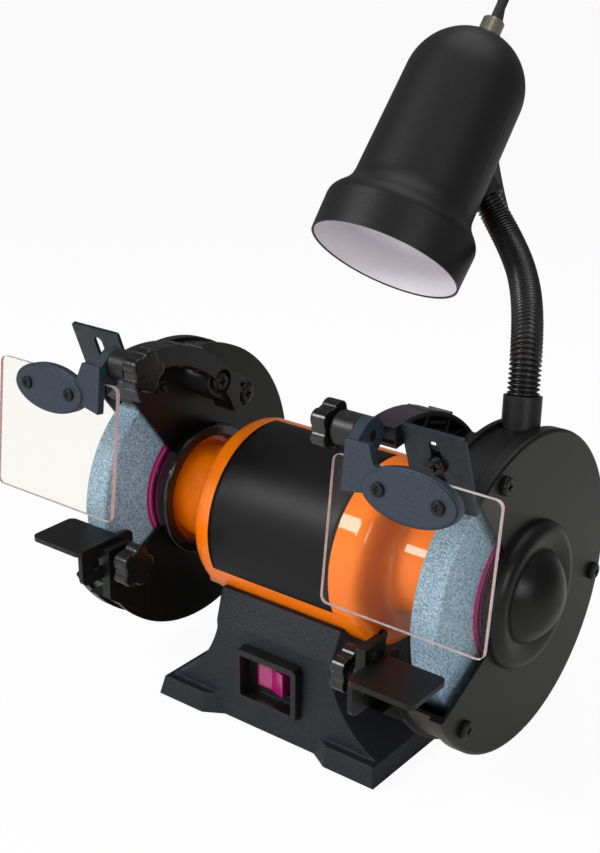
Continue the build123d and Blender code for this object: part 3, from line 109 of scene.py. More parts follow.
# One rib as shares of its pitch and of its rise
RIB_PROFILE = ((0.0, 0.0), (0.18, 0.55), (0.34, 1.0), (0.62, 1.0), (0.78, 0.55), (0.93, 0.0))

# Camera fitted to the photograph, the floor, and the room as it lights and as it is seen
CAMERA_SPOT = Vector((0.43933, -0.59459, 0.46283))
CAMERA_AIM = Vector((-0.02122, 0.0, 0.16979))
CAMERA_ROLL = math.radians(0.29)
CAMERA_LENS = 59.32
FLOOR_HALF = 20.0
FLOOR_GLOW = 0.94
ROOM_LIGHT = 0.17
ROOM_SEEN = 0.955

# Soft boxes: name, place, aim, size and power
SOFT_BOXES = (
    ("key_box", (-0.7, -1.1, 1.1), (0.0, 0.0, 0.15), (0.55, 0.4), 17.0),
    ("side_box", (1.35, -0.75, 0.75), (0.05, 0.0, 0.15), (0.5, 0.5), 7.0),
    ("top_box", (0.1, 0.35, 1.5), (0.0, 0.0, 0.15), (1.4, 1.2), 8.0),
    ("front_box", (-0.15, -1.3, 0.22), (0.0, 0.0, 0.2), (1.7, 0.7), 4.5),
)

# The lead's route from the shade's grip to its gland, in metres
LEAD_ROUTE = (
    (0.0175, 0.1284, 0.3875),
    (0.0183, 0.146, 0.4093),
    (0.016, 0.167, 0.431),
    (0.005, 0.191, 0.447),
    (-0.013, 0.214, 0.449),
    (-0.029, 0.231, 0.434),
    (-0.036, 0.236, 0.41),
    (-0.036, 0.227, 0.384),
    (-0.029, 0.208, 0.356),
    (-0.015, 0.184, 0.328),
    (0.003, 0.161, 0.303),
    (0.022, 0.141, 0.282),
    (0.041, 0.124, 0.263),
    (0.058, 0.107, 0.245),
    (0.072, 0.091, 0.226),
    (0.082, 0.077, 0.205),
    (0.088, 0.069, 0.181),
    (0.09, 0.066, 0.155),
    (0.088, 0.067, 0.128),
    (0.084, 0.08, 0.104),
    (0.076, 0.094, 0.082),
    (0.065, 0.105, 0.063),
    (0.053, 0.11, 0.047),
    (0.042, 0.108, 0.036),
    (0.034, 0.1, 0.03),
    (0.0305, 0.088, 0.028),
    (0.03, 0.075, 0.028),
)


def linear(code):
    """sRGB hex to a linear colour with alpha."""
    channels = [int(code[i : i + 2], 16) / 255 for i in (1, 3, 5)]
    return (*[c / 12.92 if c <= 0.04045 else ((c + 0.055) / 1.055) ** 2.4 for c in channels], 1.0)


class GrinderSizes(bpy.types.PropertyGroup):
    """Sizes of the fitted pieces"""

    label_left: FloatProperty(
        name="Label left", description="Left end of the label", default=-0.046, unit="LENGTH"
    )
    label_right: FloatProperty(
        name="Label right", description="Right end of the label", default=0.040, unit="LENGTH"
    )
    label_top: FloatProperty(
        name="Label top",
        description="Upper edge, turned from the back",
        default=math.radians(80),
        subtype="ANGLE",
    )
    label_foot: FloatProperty(
        name="Label foot",
        description="Lower edge, turned from the back",
        default=math.radians(203),
        subtype="ANGLE",
    )
    neck_ribs: IntProperty(
        name="Neck ribs", description="Ribs along the flexible neck", default=72, min=8, max=200
    )
    neck_crest: FloatProperty(
        name="Rib crest", description="Radius over the ribs", default=0.0085, unit="LENGTH"
    )
    neck_valley: FloatProperty(
        name="Rib valley", description="Radius between ribs", default=0.0069, unit="LENGTH"
    )
    lead_radius: FloatProperty(
        name="Lead radius", description="Radius of the lamp lead", default=0.003, unit="LENGTH"
    )


class GrinderColours(bpy.types.PropertyGroup):
    """Main colours"""

    enamel: FloatVectorProperty(
        name="Enamel", description="Motor enamel", default=linear("#FC7C00"), size=4, subtype="COLOR"
    )
    magenta: FloatVectorProperty(
        name="Magenta",
        description="Wheel discs and rocker",
        default=linear("#C2187A"),
        size=4,
        subtype="COLOR",
    )
    lining: FloatVectorProperty(
        name="Lining",
        description="Inside of the lamp shade",
        default=linear("#F6F2FA"),
        size=4,
        subtype="COLOR",
    )


def put(tree, kind, inputs=None, **settings):
    """Adds a node, sets it, and fills or links its inputs."""
    made = tree.nodes.new(kind)
    for key, value in settings.items():
        setattr(made, key, value)
    for key, value in (inputs or {}).items():
        if isinstance(value, bpy.types.NodeSocket):
            tree.links.new(value, made.inputs[key])
        else:
            made.inputs[key].default_value = value
    return made


def surface(name, **sockets):
    """New material with one shader; returns the material, its tree and the shader."""
    material = bpy.data.materials.new(name)
    material.use_nodes = True
    tree = material.node_tree
    tree.nodes.clear()
    inputs = {key.replace("_", " "): value for key, value in sockets.items()}
    shader = put(tree, "ShaderNodeBsdfPrincipled", inputs)
    put(tree, "ShaderNodeOutputMaterial", {"Surface": shader.outputs[0]})
    return material, tree, shader


def grain(
    tree, shader, size_mm, relief_mm, dark, light, matt, shiny, detail=3.0, contrast=0.2, round_mm=0.0
):
    """Irregular grain that drives colour, gloss and relief, on edges that look rounded by round_mm.

    Paint, moulded and metal grains are drawn coarser than real so that they show.
    """
    place = put(tree, "ShaderNodeTexCoord")
    noise = put(
        tree,
        "ShaderNodeTexNoise",
        {"Vector": place.outputs["Object"], "Scale": 1000 / size_mm, "Detail": detail, "Roughness": 0.55},
    )
    spread = put(
        tree,
        "ShaderNodeMapRange",
        {"Value": noise.outputs[0], "From Min": 0.5 - contrast, "From Max": 0.5 + contrast},
    )
    tint = put(
        tree, "ShaderNodeMix", {0: spread.outputs[0], 6: dark, 7: light}, data_type="RGBA", clamp_factor=True
    )
    gloss = put(tree, "ShaderNodeMapRange", {"Value": spread.outputs[0], "To Min": matt, "To Max": shiny})
    relief = put(
        tree,
        "ShaderNodeBump",
        {"Height": spread.outputs[0], "Distance": relief_mm / 1000, "Strength": 1.0},
    )
    if round_mm:
        edge = put(tree, "ShaderNodeBevel", {"Radius": round_mm / 1000}, samples=6)
        tree.links.new(edge.outputs[0], relief.inputs["Normal"])
    tree.links.new(tint.outputs[2], shader.inputs["Base Color"])
    tree.links.new(gloss.outputs[0], shader.inputs["Roughness"])
    tree.links.new(relief.outputs[0], shader.inputs["Normal"])


def enamel():
    """Baked gloss enamel: deep colour, a clear skin and a faint ripple in its reflections."""
    colour = tuple(bpy.context.scene.grinder_colours.enamel)
    material, tree, shader = surface(
        "baked_enamel", Coat_Weight=0.5, Coat_Roughness=0.03, IOR=1.5, Specular_IOR_Level=0.1
    )
    deep = (colour[0] * 0.94, colour[1] * 0.9, colour[2] * 0.9, 1.0)
    grain(tree, shader, 4.0, 0.012, deep, colour, 0.46, 0.38, detail=1.0, contrast=0.3)
    return material


def satin_paint():
    """Sprayed satin black over steel: soft broad highlights with a fine dusty grain."""
    material, tree, shader = surface("satin_black_paint", IOR=1.5, Specular_IOR_Level=0.24)
    grain(tree, shader, 0.5, 0.02, linear("#0C0B0B"), linear("#141312"), 0.4, 0.3, round_mm=0.6)
    return material


def powder_coat():
    """Textured powder coat on a casting: small rounded bumps and soft edges, with a dull sheen."""
    material, tree, shader = surface("textured_powder_coat", IOR=1.5, Specular_IOR_Level=0.32)
    dark = linear("#0D1116")
    light = linear("#191F27")
    grain(tree, shader, 1.1, 0.16, dark, light, 0.54, 0.36, detail=2.0, contrast=0.15, round_mm=2.2)
    return material


def turned_steel():
    """Turned steel: bright, with a fine uneven grain."""
    material, tree, shader = surface("turned_steel", Metallic=1.0)
    grain(tree, shader, 0.7, 0.01, linear("#9C9DA0"), linear("#C8C9CC"), 0.34, 0.22)
    return material


def dark_steel():
    """Blued sheet steel: dark, partly metallic, with a cloudy film."""
    material, tree, shader = surface("blued_sheet_steel", Metallic=0.6)
    grain(tree, shader, 5.0, 0.01, linear("#20262C"), linear("#2F363D"), 0.45, 0.34, detail=6.0)
    return material


def laminated_iron():
    """Laminated iron: dull grey with a fine dark mottle."""
    material, tree, shader = surface("laminated_iron", Metallic=0.9)
    grain(tree, shader, 0.6, 0.03, linear("#4C4D50"), linear("#77797C"), 0.5, 0.4)
    return material


def varnished_copper():
    """Varnished copper winding: brown lacquer over bright wire."""
    material, tree, shader = surface("varnished_copper", Metallic=0.8)
    grain(tree, shader, 1.2, 0.15, linear("#7A3F1E"), linear("#B8683A"), 0.4, 0.25)
    return material


def abrasive():
    """Vitrified aluminium oxide: pale and dark blue-grey grains with open pores, matt."""
    material, tree, shader = surface("vitrified_abrasive", IOR=1.6, Specular_IOR_Level=0.3)
    dark = linear("#56748E")
    light = linear("#BAD6EA")
    grain(tree, shader, 1.0, 0.25, dark, light, 0.95, 0.8, detail=5.0, contrast=0.17)
    return material


def printed_disc():
    """Magenta paper disc with lighter printed rings, drawn coarser than real so that they show."""
    colour = tuple(bpy.context.scene.grinder_colours.magenta)
    material, tree, shader = surface("printed_paper_disc", Roughness=0.55, IOR=1.45)
    place = put(tree, "ShaderNodeTexCoord")
    centred = put(
        tree, "ShaderNodeMapping", {"Vector": place.outputs["Object"], "Location": (0, 0, -SPINDLE.z)}
    )
    rings = put(
        tree,
        "ShaderNodeTexWave",
        {"Vector": centred.outputs[0], "Scale": 0.314 / 0.004, "Distortion": 0.0},
        wave_type="RINGS",
        rings_direction="X",
    )
    thin = put(tree, "ShaderNodeMapRange", {"Value": rings.outputs["Fac"], "From Min": 0.8, "From Max": 1.0})
    pale = tuple(c + (0.8 - c) * 0.35 for c in colour[:3]) + (1.0,)
    tint = put(tree, "ShaderNodeMix", {0: thin.outputs[0], 6: colour, 7: pale}, data_type="RGBA")
    tree.links.new(tint.outputs[2], shader.inputs["Base Color"])
    return material


def moulded_black():
    """Moulded black nylon: fine spark-eroded texture with a dull sheen."""
    material, tree, shader = surface("moulded_black_nylon", IOR=1.5, Specular_IOR_Level=0.35)
    grain(tree, shader, 0.6, 0.025, linear("#0C0C0D"), linear("#151516"), 0.44, 0.34, round_mm=0.7)
    return material


def knob_plastic():
    """Glossy moulded knob plastic: black, rubbed smooth by hands."""
    material, tree, shader = surface("knob_phenolic", IOR=1.5, Specular_IOR_Level=0.45)
    grain(tree, shader, 2.0, 0.01, linear("#0B0A0A"), linear("#131212"), 0.3, 0.2, round_mm=1.0)
    return material


def hose_vinyl():
    """Ribbed vinyl hose: black with a wet-looking gloss on every rib."""
    material, tree, shader = surface("ribbed_vinyl", IOR=1.5)
    grain(tree, shader, 1.5, 0.01, linear("#0A0A0B"), linear("#121213"), 0.34, 0.24)
    return material


def gloss_black():
    """Gloss black moulding: near-mirror, with the slight waviness of moulded skin."""
    material, tree, shader = surface("gloss_black_abs", IOR=1.53)
    grain(tree, shader, 8.0, 0.02, linear("#0C0C0D"), linear("#131314"), 0.2, 0.12, detail=1.0)
    return material


def textured_slate():
    """Moulded blue-grey plastic with a pebbled grain."""
    material, tree, shader = surface("pebbled_slate_plastic", IOR=1.5)
    dark = linear("#0F1B27")
    light = linear("#1C2D3F")
    grain(tree, shader, 0.8, 0.06, dark, light, 0.56, 0.42, detail=2.0, round_mm=1.2)
    return material


def lit_plastic():
    """Translucent magenta polycarbonate of an illuminated rocker."""
    colour = tuple(bpy.context.scene.grinder_colours.magenta)
    material, tree, shader = surface("translucent_magenta", IOR=1.58, Coat_Weight=0.5, Coat_Roughness=0.06)
    deep = tuple(c * 0.55 for c in colour[:3]) + (1.0,)
    body = tuple(c * 0.75 for c in colour[:3]) + (1.0,)
    grain(tree, shader, 3.0, 0.01, deep, body, 0.25, 0.15, detail=1.0, round_mm=0.8)
    return material


def clear_sheet():
    """Clear polycarbonate sheet: a trace of haze, and a low IOR so that reflections stay weak."""
    material, tree, shader = surface(
        "clear_polycarbonate", Base_Color=linear("#FBF9F4"), IOR=1.2, Transmission_Weight=1.0
    )
    place = put(tree, "ShaderNodeTexCoord")
    haze = put(tree, "ShaderNodeTexNoise", {"Vector": place.outputs["Object"], "Scale": 40.0, "Detail": 4.0})
    gloss = put(tree, "ShaderNodeMapRange", {"Value": haze.outputs[0], "To Min": 0.0, "To Max": 0.03})
    tree.links.new(gloss.outputs[0], shader.inputs["Roughness"])
    return material


def frosted_edge_and_glint():
    """Sawn polycarbonate edge: frosted and pale, with a painted pale grey-pink highlight standing in for
    light caught along the edge.
    """
    material, tree, shader = surface(
        "sawn_polycarbonate_glint", IOR=1.45, Subsurface_Weight=0.4, Subsurface_Scale=0.002
    )
    # Painted highlight: the pale grey-pink grain stands in for light caught along the pane edges; the
    # frosting itself is real
    grain(tree, shader, 0.8, 0.02, linear("#A89CA0"), linear("#C9BFC2"), 0.7, 0.5)
    return material


def soft_rubber():
    """Moulded rubber: dark and dull with a fine bloom."""
    material, tree, shader = surface("moulded_rubber", IOR=1.5)
    grain(tree, shader, 0.8, 0.03, linear("#161616"), linear("#222222"), 0.75, 0.6)
    return material


def shade_paint():
    """Fine-texture black paint on a spun shade: even grain that breaks up the highlight."""
    material, tree, shader = surface("fine_texture_black", IOR=1.5, Specular_IOR_Level=0.35)
    grain(tree, shader, 0.7, 0.05, linear("#0D0D0E"), linear("#161617"), 0.5, 0.38, detail=2.0)
    return material


def lining_paint():
    """Matt white paint inside the shade, with a faint orange-peel."""
    colour = tuple(bpy.context.scene.grinder_colours.lining)
    material, tree, shader = surface("matt_white_paint", IOR=1.5)
    warm = tuple(c * 0.94 for c in colour[:3]) + (1.0,)
    grain(tree, shader, 1.5, 0.02, warm, colour, 0.6, 0.5)
    return material


def glazed_white():
    """Glazed ceramic lamp holder."""
    material, tree, shader = surface("glazed_ceramic", IOR=1.5)
    grain(tree, shader, 6.0, 0.01, linear("#D8D5CC"), linear("#E8E6DF"), 0.25, 0.15, detail=1.0)
    return material


def opal_glass():
    """Opal bulb glass: milky, with a clean gloss."""
    material, tree, shader = surface("opal_glass", IOR=1.5, Subsurface_Weight=0.3, Subsurface_Scale=0.004)
    grain(tree, shader, 10.0, 0.003, linear("#EDEAF2"), linear("#F8F6FA"), 0.14, 0.08, detail=1.0)
    return material


def nickel():
    """Nickel-plated brass, lightly tumbled."""
    material, tree, shader = surface("nickel_plate", Metallic=1.0)
    grain(tree, shader, 0.6, 0.015, linear("#A69C86"), linear("#D6CFBF"), 0.3, 0.18)
    return material


def drawn_can():
    """Drawn aluminium can: pale and lightly mottled."""
    material, tree, shader = surface("drawn_aluminium", Metallic=1.0)
    grain(tree, shader, 1.0, 0.01, linear("#B9BABC"), linear("#D9DADC"), 0.38, 0.28)
    return material


def label_black():
    """Blank label film: deep black with a soft sheen."""
    material, tree, shader = surface("blank_label_film", IOR=1.5, Specular_IOR_Level=0.2)
    grain(tree, shader, 0.6, 0.002, linear("#08080A"), linear("#0E0E10"), 0.48, 0.42)
    return material


FINISHES = {
    enamel: ("motor_shell", "right_end_bell", "left_end_bell"),
    satin_paint: (
        "right_inner_guard",
        "left_inner_guard",
        "right_guard_cover",
        "left_guard_cover",
        "right_tool_rest",
        "left_tool_rest",
        "bell_screws",
        "cover_screws",
        "cover_nuts",
        "deflector_screws",
        "arm_screws",
        "rest_clamp_nuts",
        "right_shield_screws",
        "left_shield_screws",
    ),
    powder_coat: ("base_casting",),
    turned_steel: (
        "spindle",
        "bearing_outer_races",
        "bearing_inner_races",
        "bearing_balls",
        "wheel_flanges",
        "arbor_nuts",
        "guard_screws",
        "base_plate",
        "base_plate_screws",
        "motor_screws",
    ),
    laminated_iron: ("rotor_core", "stator_core"),
    varnished_copper: ("stator_windings",),
    dark_steel: ("right_spark_deflector", "left_spark_deflector"),
    abrasive: ("right_wheel", "left_wheel"),
    printed_disc: ("wheel_blotters",),
    moulded_black: ("right_shield_arm", "left_shield_arm", "switch_housing", "cord_glands"),
    knob_plastic: ("right_shield_knob", "left_shield_knob", "right_rest_knob", "left_rest_knob"),
    gloss_black: ("guard_collars",),
    textured_slate: ("right_shield_bracket", "left_shield_bracket"),
    lit_plastic: ("switch_rocker",),
    clear_sheet: ("right_eye_shield", "left_eye_shield"),
    soft_rubber: ("rubber_feet",),
    shade_paint: ("lamp_shade", "lamp_elbow", "neck_collar"),
    glazed_white: ("lamp_socket",),
    opal_glass: ("lamp_bulb",),
    nickel: ("cord_grip",),
    drawn_can: ("capacitor",),
}


def piece(name, mesh, *materials):
    """Links a finished mesh as a piece at the origin."""
    for material in materials:
        mesh.materials.append(material)
    made = bpy.data.objects.new(name, mesh)
    bpy.context.scene.collection.objects.link(made)
    return made


def shade_frame():
    """Matrix from the shade's own axes, mouth up, to the row frame."""
    across = (Vector((1, 0, 0)) - SHADE_UP * SHADE_UP.x).normalized()
    turn = Matrix((across, SHADE_UP.cross(across), SHADE_UP)).transposed()
    return Matrix.Translation(SHADE_MOUTH) @ turn.to_4x4()


def curve_mesh(name, curve):
    """Mesh of a curve: a tube where it has a bevel, else its centre line."""
    holder = bpy.data.objects.new("curve_reader", curve)
    bpy.context.scene.collection.objects.link(holder)
    bpy.context.view_layer.update()
    mesh = bpy.data.meshes.new_from_object(holder.evaluated_get(bpy.context.evaluated_depsgraph_get()))
    bpy.data.objects.remove(holder)
    mesh.name = name
    mesh.materials.clear()
    mesh.polygons.foreach_set("use_smooth", [True] * len(mesh.polygons))
    return mesh


def spline_points(curve):
    """Points of a curve's centre line, in order."""
    mesh = curve_mesh("centre_line", curve)
    points = [vertex.co.copy() for vertex in mesh.vertices]
    bpy.data.meshes.remove(mesh)
    return points


def seen_directly(tree):
    """Socket that is 1 on rays from the camera or through clear sheet, else 0."""
    path = put(tree, "ShaderNodeLightPath")
    either = put(
        tree,
        "ShaderNodeMath",
        {0: path.outputs["Is Camera Ray"], 1: path.outputs["Is Transmission Ray"]},
        operation="MAXIMUM",
    )
    return either.outputs[0]


class GRINDER_OT_finishes(bpy.types.Operator):
    """Gives every carried-over node its finish"""

    bl_idname = "grinder.finishes"
    bl_label = "Finishes"

    def execute(self, context):
        for maker, nodes in FINISHES.items():
            material = maker()
            for node in nodes:
                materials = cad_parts[node].data.materials
                materials.clear()
                materials.append(material)
        return {"FINISHED"}


class GRINDER_OT_label(bpy.types.Operator):
    """Wraps a blank label plate round the front of the motor"""

    bl_idname = "grinder.label"
    bl_label = "Label plate"

    def execute(self, context):
        sizes = context.scene.grinder_sizes
        low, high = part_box("motor_shell")
        radius = (high[1] - low[1]) / 2 + LABEL_LIFT
        sweep = sizes.label_foot - sizes.label_top
        bm = bmesh.new()
        start = [bm.verts.new((x, radius, SPINDLE.z)) for x in (sizes.label_left, sizes.label_right)]
        edge = bm.edges.new(start)
        bmesh.ops.rotate(bm, verts=bm.verts, cent=SPINDLE, matrix=Matrix.Rotation(sizes.label_top, 3, "X"))
        bmesh.ops.spin(
            bm,
            geom=[*start, edge],
            cent=SPINDLE,
            axis=(1, 0, 0),
            angle=sweep,
            steps=LABEL_STEPS,
            use_duplicate=False,
        )
        bmesh.ops.remove_doubles(bm, verts=bm.verts, dist=MERGE_WITHIN)
        lengthwise = [e for e in bm.edges if abs(e.verts[0].co.x - e.verts[1].co.x) > MERGE_WITHIN]
        bmesh.ops.subdivide_edges(bm, edges=lengthwise, cuts=LABEL_CUTS)
        bmesh.ops.recalc_face_normals(bm, faces=bm.faces)
        first = bm.faces[:][0]
        if first.normal.dot(first.calc_center_median() - SPINDLE) < 0:
            bmesh.ops.reverse_faces(bm, faces=bm.faces)
        for face in bm.faces:
            face.smooth = True
        bmesh.ops.solidify(bm, geom=bm.faces, thickness=-LABEL_FILM)
        mesh = bpy.data.meshes.new("motor_label")
        bm.to_mesh(mesh)
        bm.free()
        plate = piece("motor_label", mesh, label_black())
        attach(plate, "frame")
        return {"FINISHED"}


class GRINDER_OT_lining(bpy.types.Operator):
    """Lines the shade with white paint"""

    bl_idname = "grinder.lining"
    bl_label = "Shade lining"

    def execute(self, context):
        flare = FLARE_RADIUS - SHADE_WALL
        waist = WAIST_RADIUS - SHADE_WALL
        body = BODY_RADIUS - SHADE_WALL
        ends = ((flare, FLARE_TOP), (flare, WAIST_BEND), (waist, WAIST_BEND), (waist, WAIST_TOP))
        step = interpolate_bezier(*[Vector((*end, 0)) for end in ends], STEP_POINTS)
        line = [(MOUTH_RADIUS - SHADE_WALL, MOUTH_LIP)]
        line += [(spot.x, spot.y) for spot in step]
        line.append((body, DOME_FOOT))
        for stop in DOME_STOPS:
            turn = math.radians(stop)
            line.append((body * math.cos(turn), DOME_FOOT + body * math.sin(turn)))
        bm = bmesh.new()
        rail = [bm.verts.new((radius, 0, height)) for radius, height in line]
        edges = [bm.edges.new(ends) for ends in zip(rail, rail[1:])]
        bmesh.ops.spin(
            bm,
            geom=[*rail, *edges],
            cent=(0, 0, 0),
            axis=(0, 0, 1),
            angle=math.tau,
            steps=ROUND_STEPS,
            use_merge=True,
        )
        bmesh.ops.remove_doubles(bm, verts=bm.verts, dist=MERGE_WITHIN)
        bmesh.ops.recalc_face_normals(bm, faces=bm.faces)
        for face in bm.faces:
            face.smooth = True
            outward = face.calc_center_median() * Vector((1, 1, 0))
            if face.normal.dot(outward) > 0:
                face.normal_flip()
        bmesh.ops.solidify(bm, geom=bm.faces, thickness=LINING_COAT)
        bmesh.ops.transform(bm, matrix=shade_frame(), verts=bm.verts)
        mesh = bpy.data.meshes.new("shade_lining")
        bm.to_mesh(mesh)
        bm.free()
        lining = piece("shade_lining", mesh, lining_paint())
        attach(lining, "lamp")
        return {"FINISHED"}


class GRINDER_OT_edges(bpy.types.Operator):
    """Frosts the sawn edges of the two eye shields and paints a pale highlight along them"""

    bl_idname = "grinder.edges"
    bl_label = "Shield edges"

    def execute(self, context):
        material = frosted_edge_and_glint()
        up = Vector((0, math.sin(PANE_TILT), math.cos(PANE_TILT)))
        front = Vector((0, -math.cos(PANE_TILT), math.sin(PANE_TILT)))
        turn = Matrix((Vector((1, 0, 0)), up, front)).transposed()
        for side, body in ((1, "right_shield"), (-1, "left_shield")):
            stud = Vector((side * PANE_STUD.x, PANE_STUD.y, PANE_STUD.z))
            middle = stud - up * PANE_DROP + front * PANE_FORWARD
            bm = bmesh.new()
            bmesh.ops.create_grid(bm, x_segments=1, y_segments=1, size=0.5)
            sunk = 2 * EDGE_PROUD
            bmesh.ops.scale(bm, vec=(PANE_SIZE.x - sunk, PANE_SIZE.y - sunk, 1), verts=bm.verts)
            bmesh.ops.bevel(
                bm,
                geom=bm.verts[:],
                offset=PANE_CORNER,
                segments=6,
                profile=0.5,
                affect="VERTICES",
                material=-1,
            )
            ring = bmesh.ops.inset_region(
                bm, faces=bm.faces[:], thickness=EDGE_WALL, use_even_offset=True, use_boundary=True
            )["faces"]
            inner = [face for face in bm.faces if face not in ring]
            bmesh.ops.delete(bm, geom=inner, context="FACES")
            deep = bmesh.ops.extrude_face_region(bm, geom=bm.faces[:], use_keep_orig=True)
            moved = [part for part in deep["geom"] if isinstance(part, bmesh.types.BMVert)]
            bmesh.ops.translate(bm, vec=(0, 0, -PANE_SIZE.z - 2 * EDGE_PROUD), verts=moved)
            bmesh.ops.translate(bm, vec=(0, 0, EDGE_PROUD), verts=bm.verts)
            bmesh.ops.recalc_face_normals(bm, faces=bm.faces)
            bmesh.ops.transform(bm, matrix=Matrix.Translation(middle) @ turn.to_4x4(), verts=bm.verts)
            mesh = bpy.data.meshes.new(body + "_edge")
            bm.to_mesh(mesh)
            bm.free()
            edge = piece(body + "_edge", mesh, material)
            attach(edge, body)
        return {"FINISHED"}


class GRINDER_OT_neck(bpy.types.Operator):
    """Makes the ribbed flexible neck between guard and lamp"""

    bl_idname = "grinder.neck"
    bl_label = "Flexible neck"

    def execute(self, context):
        sizes = context.scene.grinder_sizes
        out = (NECK_LIFT - NECK_START).normalized()
        into = (NECK_END - NECK_SWING).normalized()
        knees = (NECK_START + out * NECK_STUB, NECK_END - into * NECK_STUB)
        centre = bpy.data.curves.new("neck_centre", "CURVE")
        centre.dimensions = "3D"
        centre.resolution_u = 64
        spline = centre.splines.new("BEZIER")
        spline.bezier_points.add(3)
        spots = (
            (NECK_START, NECK_START - out * NECK_END_HANDLE, NECK_START + out * NECK_END_HANDLE),
            (knees[0], NECK_START + out * NECK_HOLD, NECK_LIFT),
            (knees[1], NECK_SWING, NECK_END - into * NECK_HOLD),
            (NECK_END, NECK_END - into * NECK_END_HANDLE, NECK_END + into * NECK_END_HANDLE),
        )
        for point, (spot, before, after) in zip(spline.bezier_points, spots):
            point.handle_left_type = "FREE"
            point.handle_right_type = "FREE"
            point.co = spot
            point.handle_left = before
            point.handle_right = after
        points = spline_points(centre)
        reach = [0.0]
        for first, second in zip(points, points[1:]):
            reach.append(reach[-1] + (second - first).length)
        stops = [(rib + share, rise) for rib in range(sizes.neck_ribs) for share, rise in RIB_PROFILE]
        tube = bpy.data.curves.new("neck_tube", "CURVE")
        tube.dimensions = "3D"
        tube.bevel_depth = sizes.neck_crest
        tube.bevel_resolution = 6
        tube.use_fill_caps = True
        run = tube.splines.new("POLY")
        run.points.add(len(stops) - 1)
        span = 0
        for point, (share, rise) in zip(run.points, stops):
            goal = reach[-1] * share / sizes.neck_ribs
            while reach[span + 1] < goal and span < len(reach) - 2:
                span += 1
            part = (goal - reach[span]) / max(reach[span + 1] - reach[span], 1e-9)
            point.co = (*points[span].lerp(points[span + 1], part), 1.0)
            height = sizes.neck_valley + (sizes.neck_crest - sizes.neck_valley) * rise
            point.radius = height / sizes.neck_crest
        neck = piece("neck_hose", curve_mesh("neck_hose", tube), hose_vinyl())
        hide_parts("gooseneck")
        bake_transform(neck)
        return {"FINISHED"}


class GRINDER_OT_lead(bpy.types.Operator):
    """Lays the lamp lead from the shade to its gland"""

    bl_idname = "grinder.lead"
    bl_label = "Lamp lead"

    def execute(self, context):
        radius = context.scene.grinder_sizes.lead_radius
        line = bpy.data.curves.new("lead_line", "CURVE")
        line.dimensions = "3D"
        line.resolution_u = 8
        spline = line.splines.new("NURBS")
        spline.points.add(len(LEAD_ROUTE) - 1)
        for point, spot in zip(spline.points, LEAD_ROUTE):
            point.co = (*spot, 1.0)
        spline.order_u = 3
        spline.use_endpoint_u = True
        path = spline_points(line.copy())
        line.bevel_depth = radius
        line.bevel_resolution = 5
        line.use_fill_caps = True
        lead = piece("lamp_lead", curve_mesh("lamp_lead", line), soft_rubber())
        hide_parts("lamp_cord")
        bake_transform(lead)
        return {"FINISHED"}


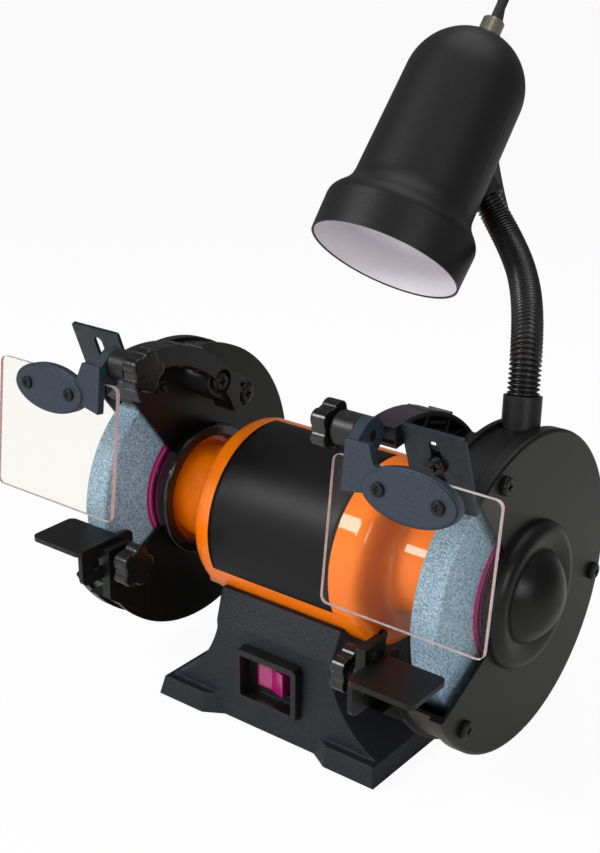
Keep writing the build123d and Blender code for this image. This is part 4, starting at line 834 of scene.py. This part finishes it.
class GRINDER_OT_stage(bpy.types.Operator):
    """Pale floor, soft boxes and the camera"""

    bl_idname = "grinder.stage"
    bl_label = "Stage"

    def execute(self, context):
        scene = context.scene
        bm = bmesh.new()
        bmesh.ops.create_grid(bm, x_segments=2, y_segments=2, size=FLOOR_HALF)
        mesh = bpy.data.meshes.new("floor")
        bm.to_mesh(mesh)
        bm.free()
        material, tree, shader = surface("pale_floor", Base_Color=linear("#F4F4F2"), Roughness=0.7)
        glow = put(tree, "ShaderNodeEmission", {"Color": linear("#FFFFFF"), "Strength": 1.0})
        share = put(tree, "ShaderNodeMath", {0: seen_directly(tree), 1: FLOOR_GLOW}, operation="MULTIPLY")
        both = put(
            tree, "ShaderNodeMixShader", {0: share.outputs[0], 1: shader.outputs[0], 2: glow.outputs[0]}
        )
        output = [n for n in tree.nodes if n.type == "OUTPUT_MATERIAL"][0]
        tree.links.new(both.outputs[0], output.inputs[0])
        floor = piece("floor", mesh, material)
        world = bpy.data.worlds.new("pale_room")
        scene.world = world
        world.use_nodes = True
        sky = world.node_tree
        sky.nodes.clear()
        strength = put(
            sky,
            "ShaderNodeMapRange",
            {"Value": seen_directly(sky), "To Min": ROOM_LIGHT, "To Max": ROOM_SEEN},
        )
        room = put(sky, "ShaderNodeBackground", {"Color": (1, 1, 1, 1), "Strength": strength.outputs[0]})
        put(sky, "ShaderNodeOutputWorld", {"Surface": room.outputs[0]})
        for name, spot, aim, size, power in SOFT_BOXES:
            lamp = bpy.data.lights.new(name, "AREA")
            lamp.shape = "RECTANGLE"
            lamp.size = size[0]
            lamp.size_y = size[1]
            lamp.energy = power
            holder = bpy.data.objects.new(name, lamp)
            holder.location = spot
            holder.rotation_euler = (Vector(spot) - Vector(aim)).to_track_quat("Z", "Y").to_euler()
            scene.collection.objects.link(holder)
        lens = bpy.data.cameras.new("camera")
        lens.lens = CAMERA_LENS
        lens.sensor_width = 36.0
        lens.clip_start = 0.01
        viewer = bpy.data.objects.new("camera", lens)
        viewer.location = CAMERA_SPOT
        gaze = CAMERA_SPOT - CAMERA_AIM
        turn = gaze.to_track_quat("Z", "Y") @ Quaternion((0, 0, 1), CAMERA_ROLL)
        viewer.rotation_euler = turn.to_euler()
        scene.collection.objects.link(viewer)
        scene.camera = viewer
        scene.view_settings.view_transform = "Standard"
        return {"FINISHED"}


STEPS = (
    GRINDER_OT_finishes,
    GRINDER_OT_label,
    GRINDER_OT_lining,
    GRINDER_OT_edges,
    GRINDER_OT_neck,
    GRINDER_OT_lead,
    GRINDER_OT_stage,
)


class GRINDER_PT_panel(bpy.types.Panel):
    """Lists the dressing steps and their sizes"""

    bl_label = "Bench grinder"
    bl_idname = "GRINDER_PT_panel"
    bl_space_type = "VIEW_3D"
    bl_region_type = "UI"
    bl_category = "Grinder"

    def draw(self, context):
        for group in (context.scene.grinder_sizes, context.scene.grinder_colours):
            for name in group.__annotations__:
                self.layout.prop(group, name)
        for step in STEPS:
            self.layout.operator(step.bl_idname)


CLASSES = (GrinderSizes, GrinderColours, *STEPS, GRINDER_PT_panel)


def register():
    """Registers the classes and their settings."""
    for cls in CLASSES:
        bpy.utils.register_class(cls)
    bpy.types.Scene.grinder_sizes = PointerProperty(type=GrinderSizes)
    bpy.types.Scene.grinder_colours = PointerProperty(type=GrinderColours)


def unregister():
    """Removes what register added."""
    del bpy.types.Scene.grinder_colours
    del bpy.types.Scene.grinder_sizes
    for cls in reversed(CLASSES):
        bpy.utils.unregister_class(cls)


def main():
    """Runs every step in order."""
    register()
    bpy.ops.grinder.finishes()
    bpy.ops.grinder.label()
    bpy.ops.grinder.lining()
    bpy.ops.grinder.edges()
    bpy.ops.grinder.neck()
    bpy.ops.grinder.lead()
    bpy.ops.grinder.stage()


if __name__ == "__main__":
    main()
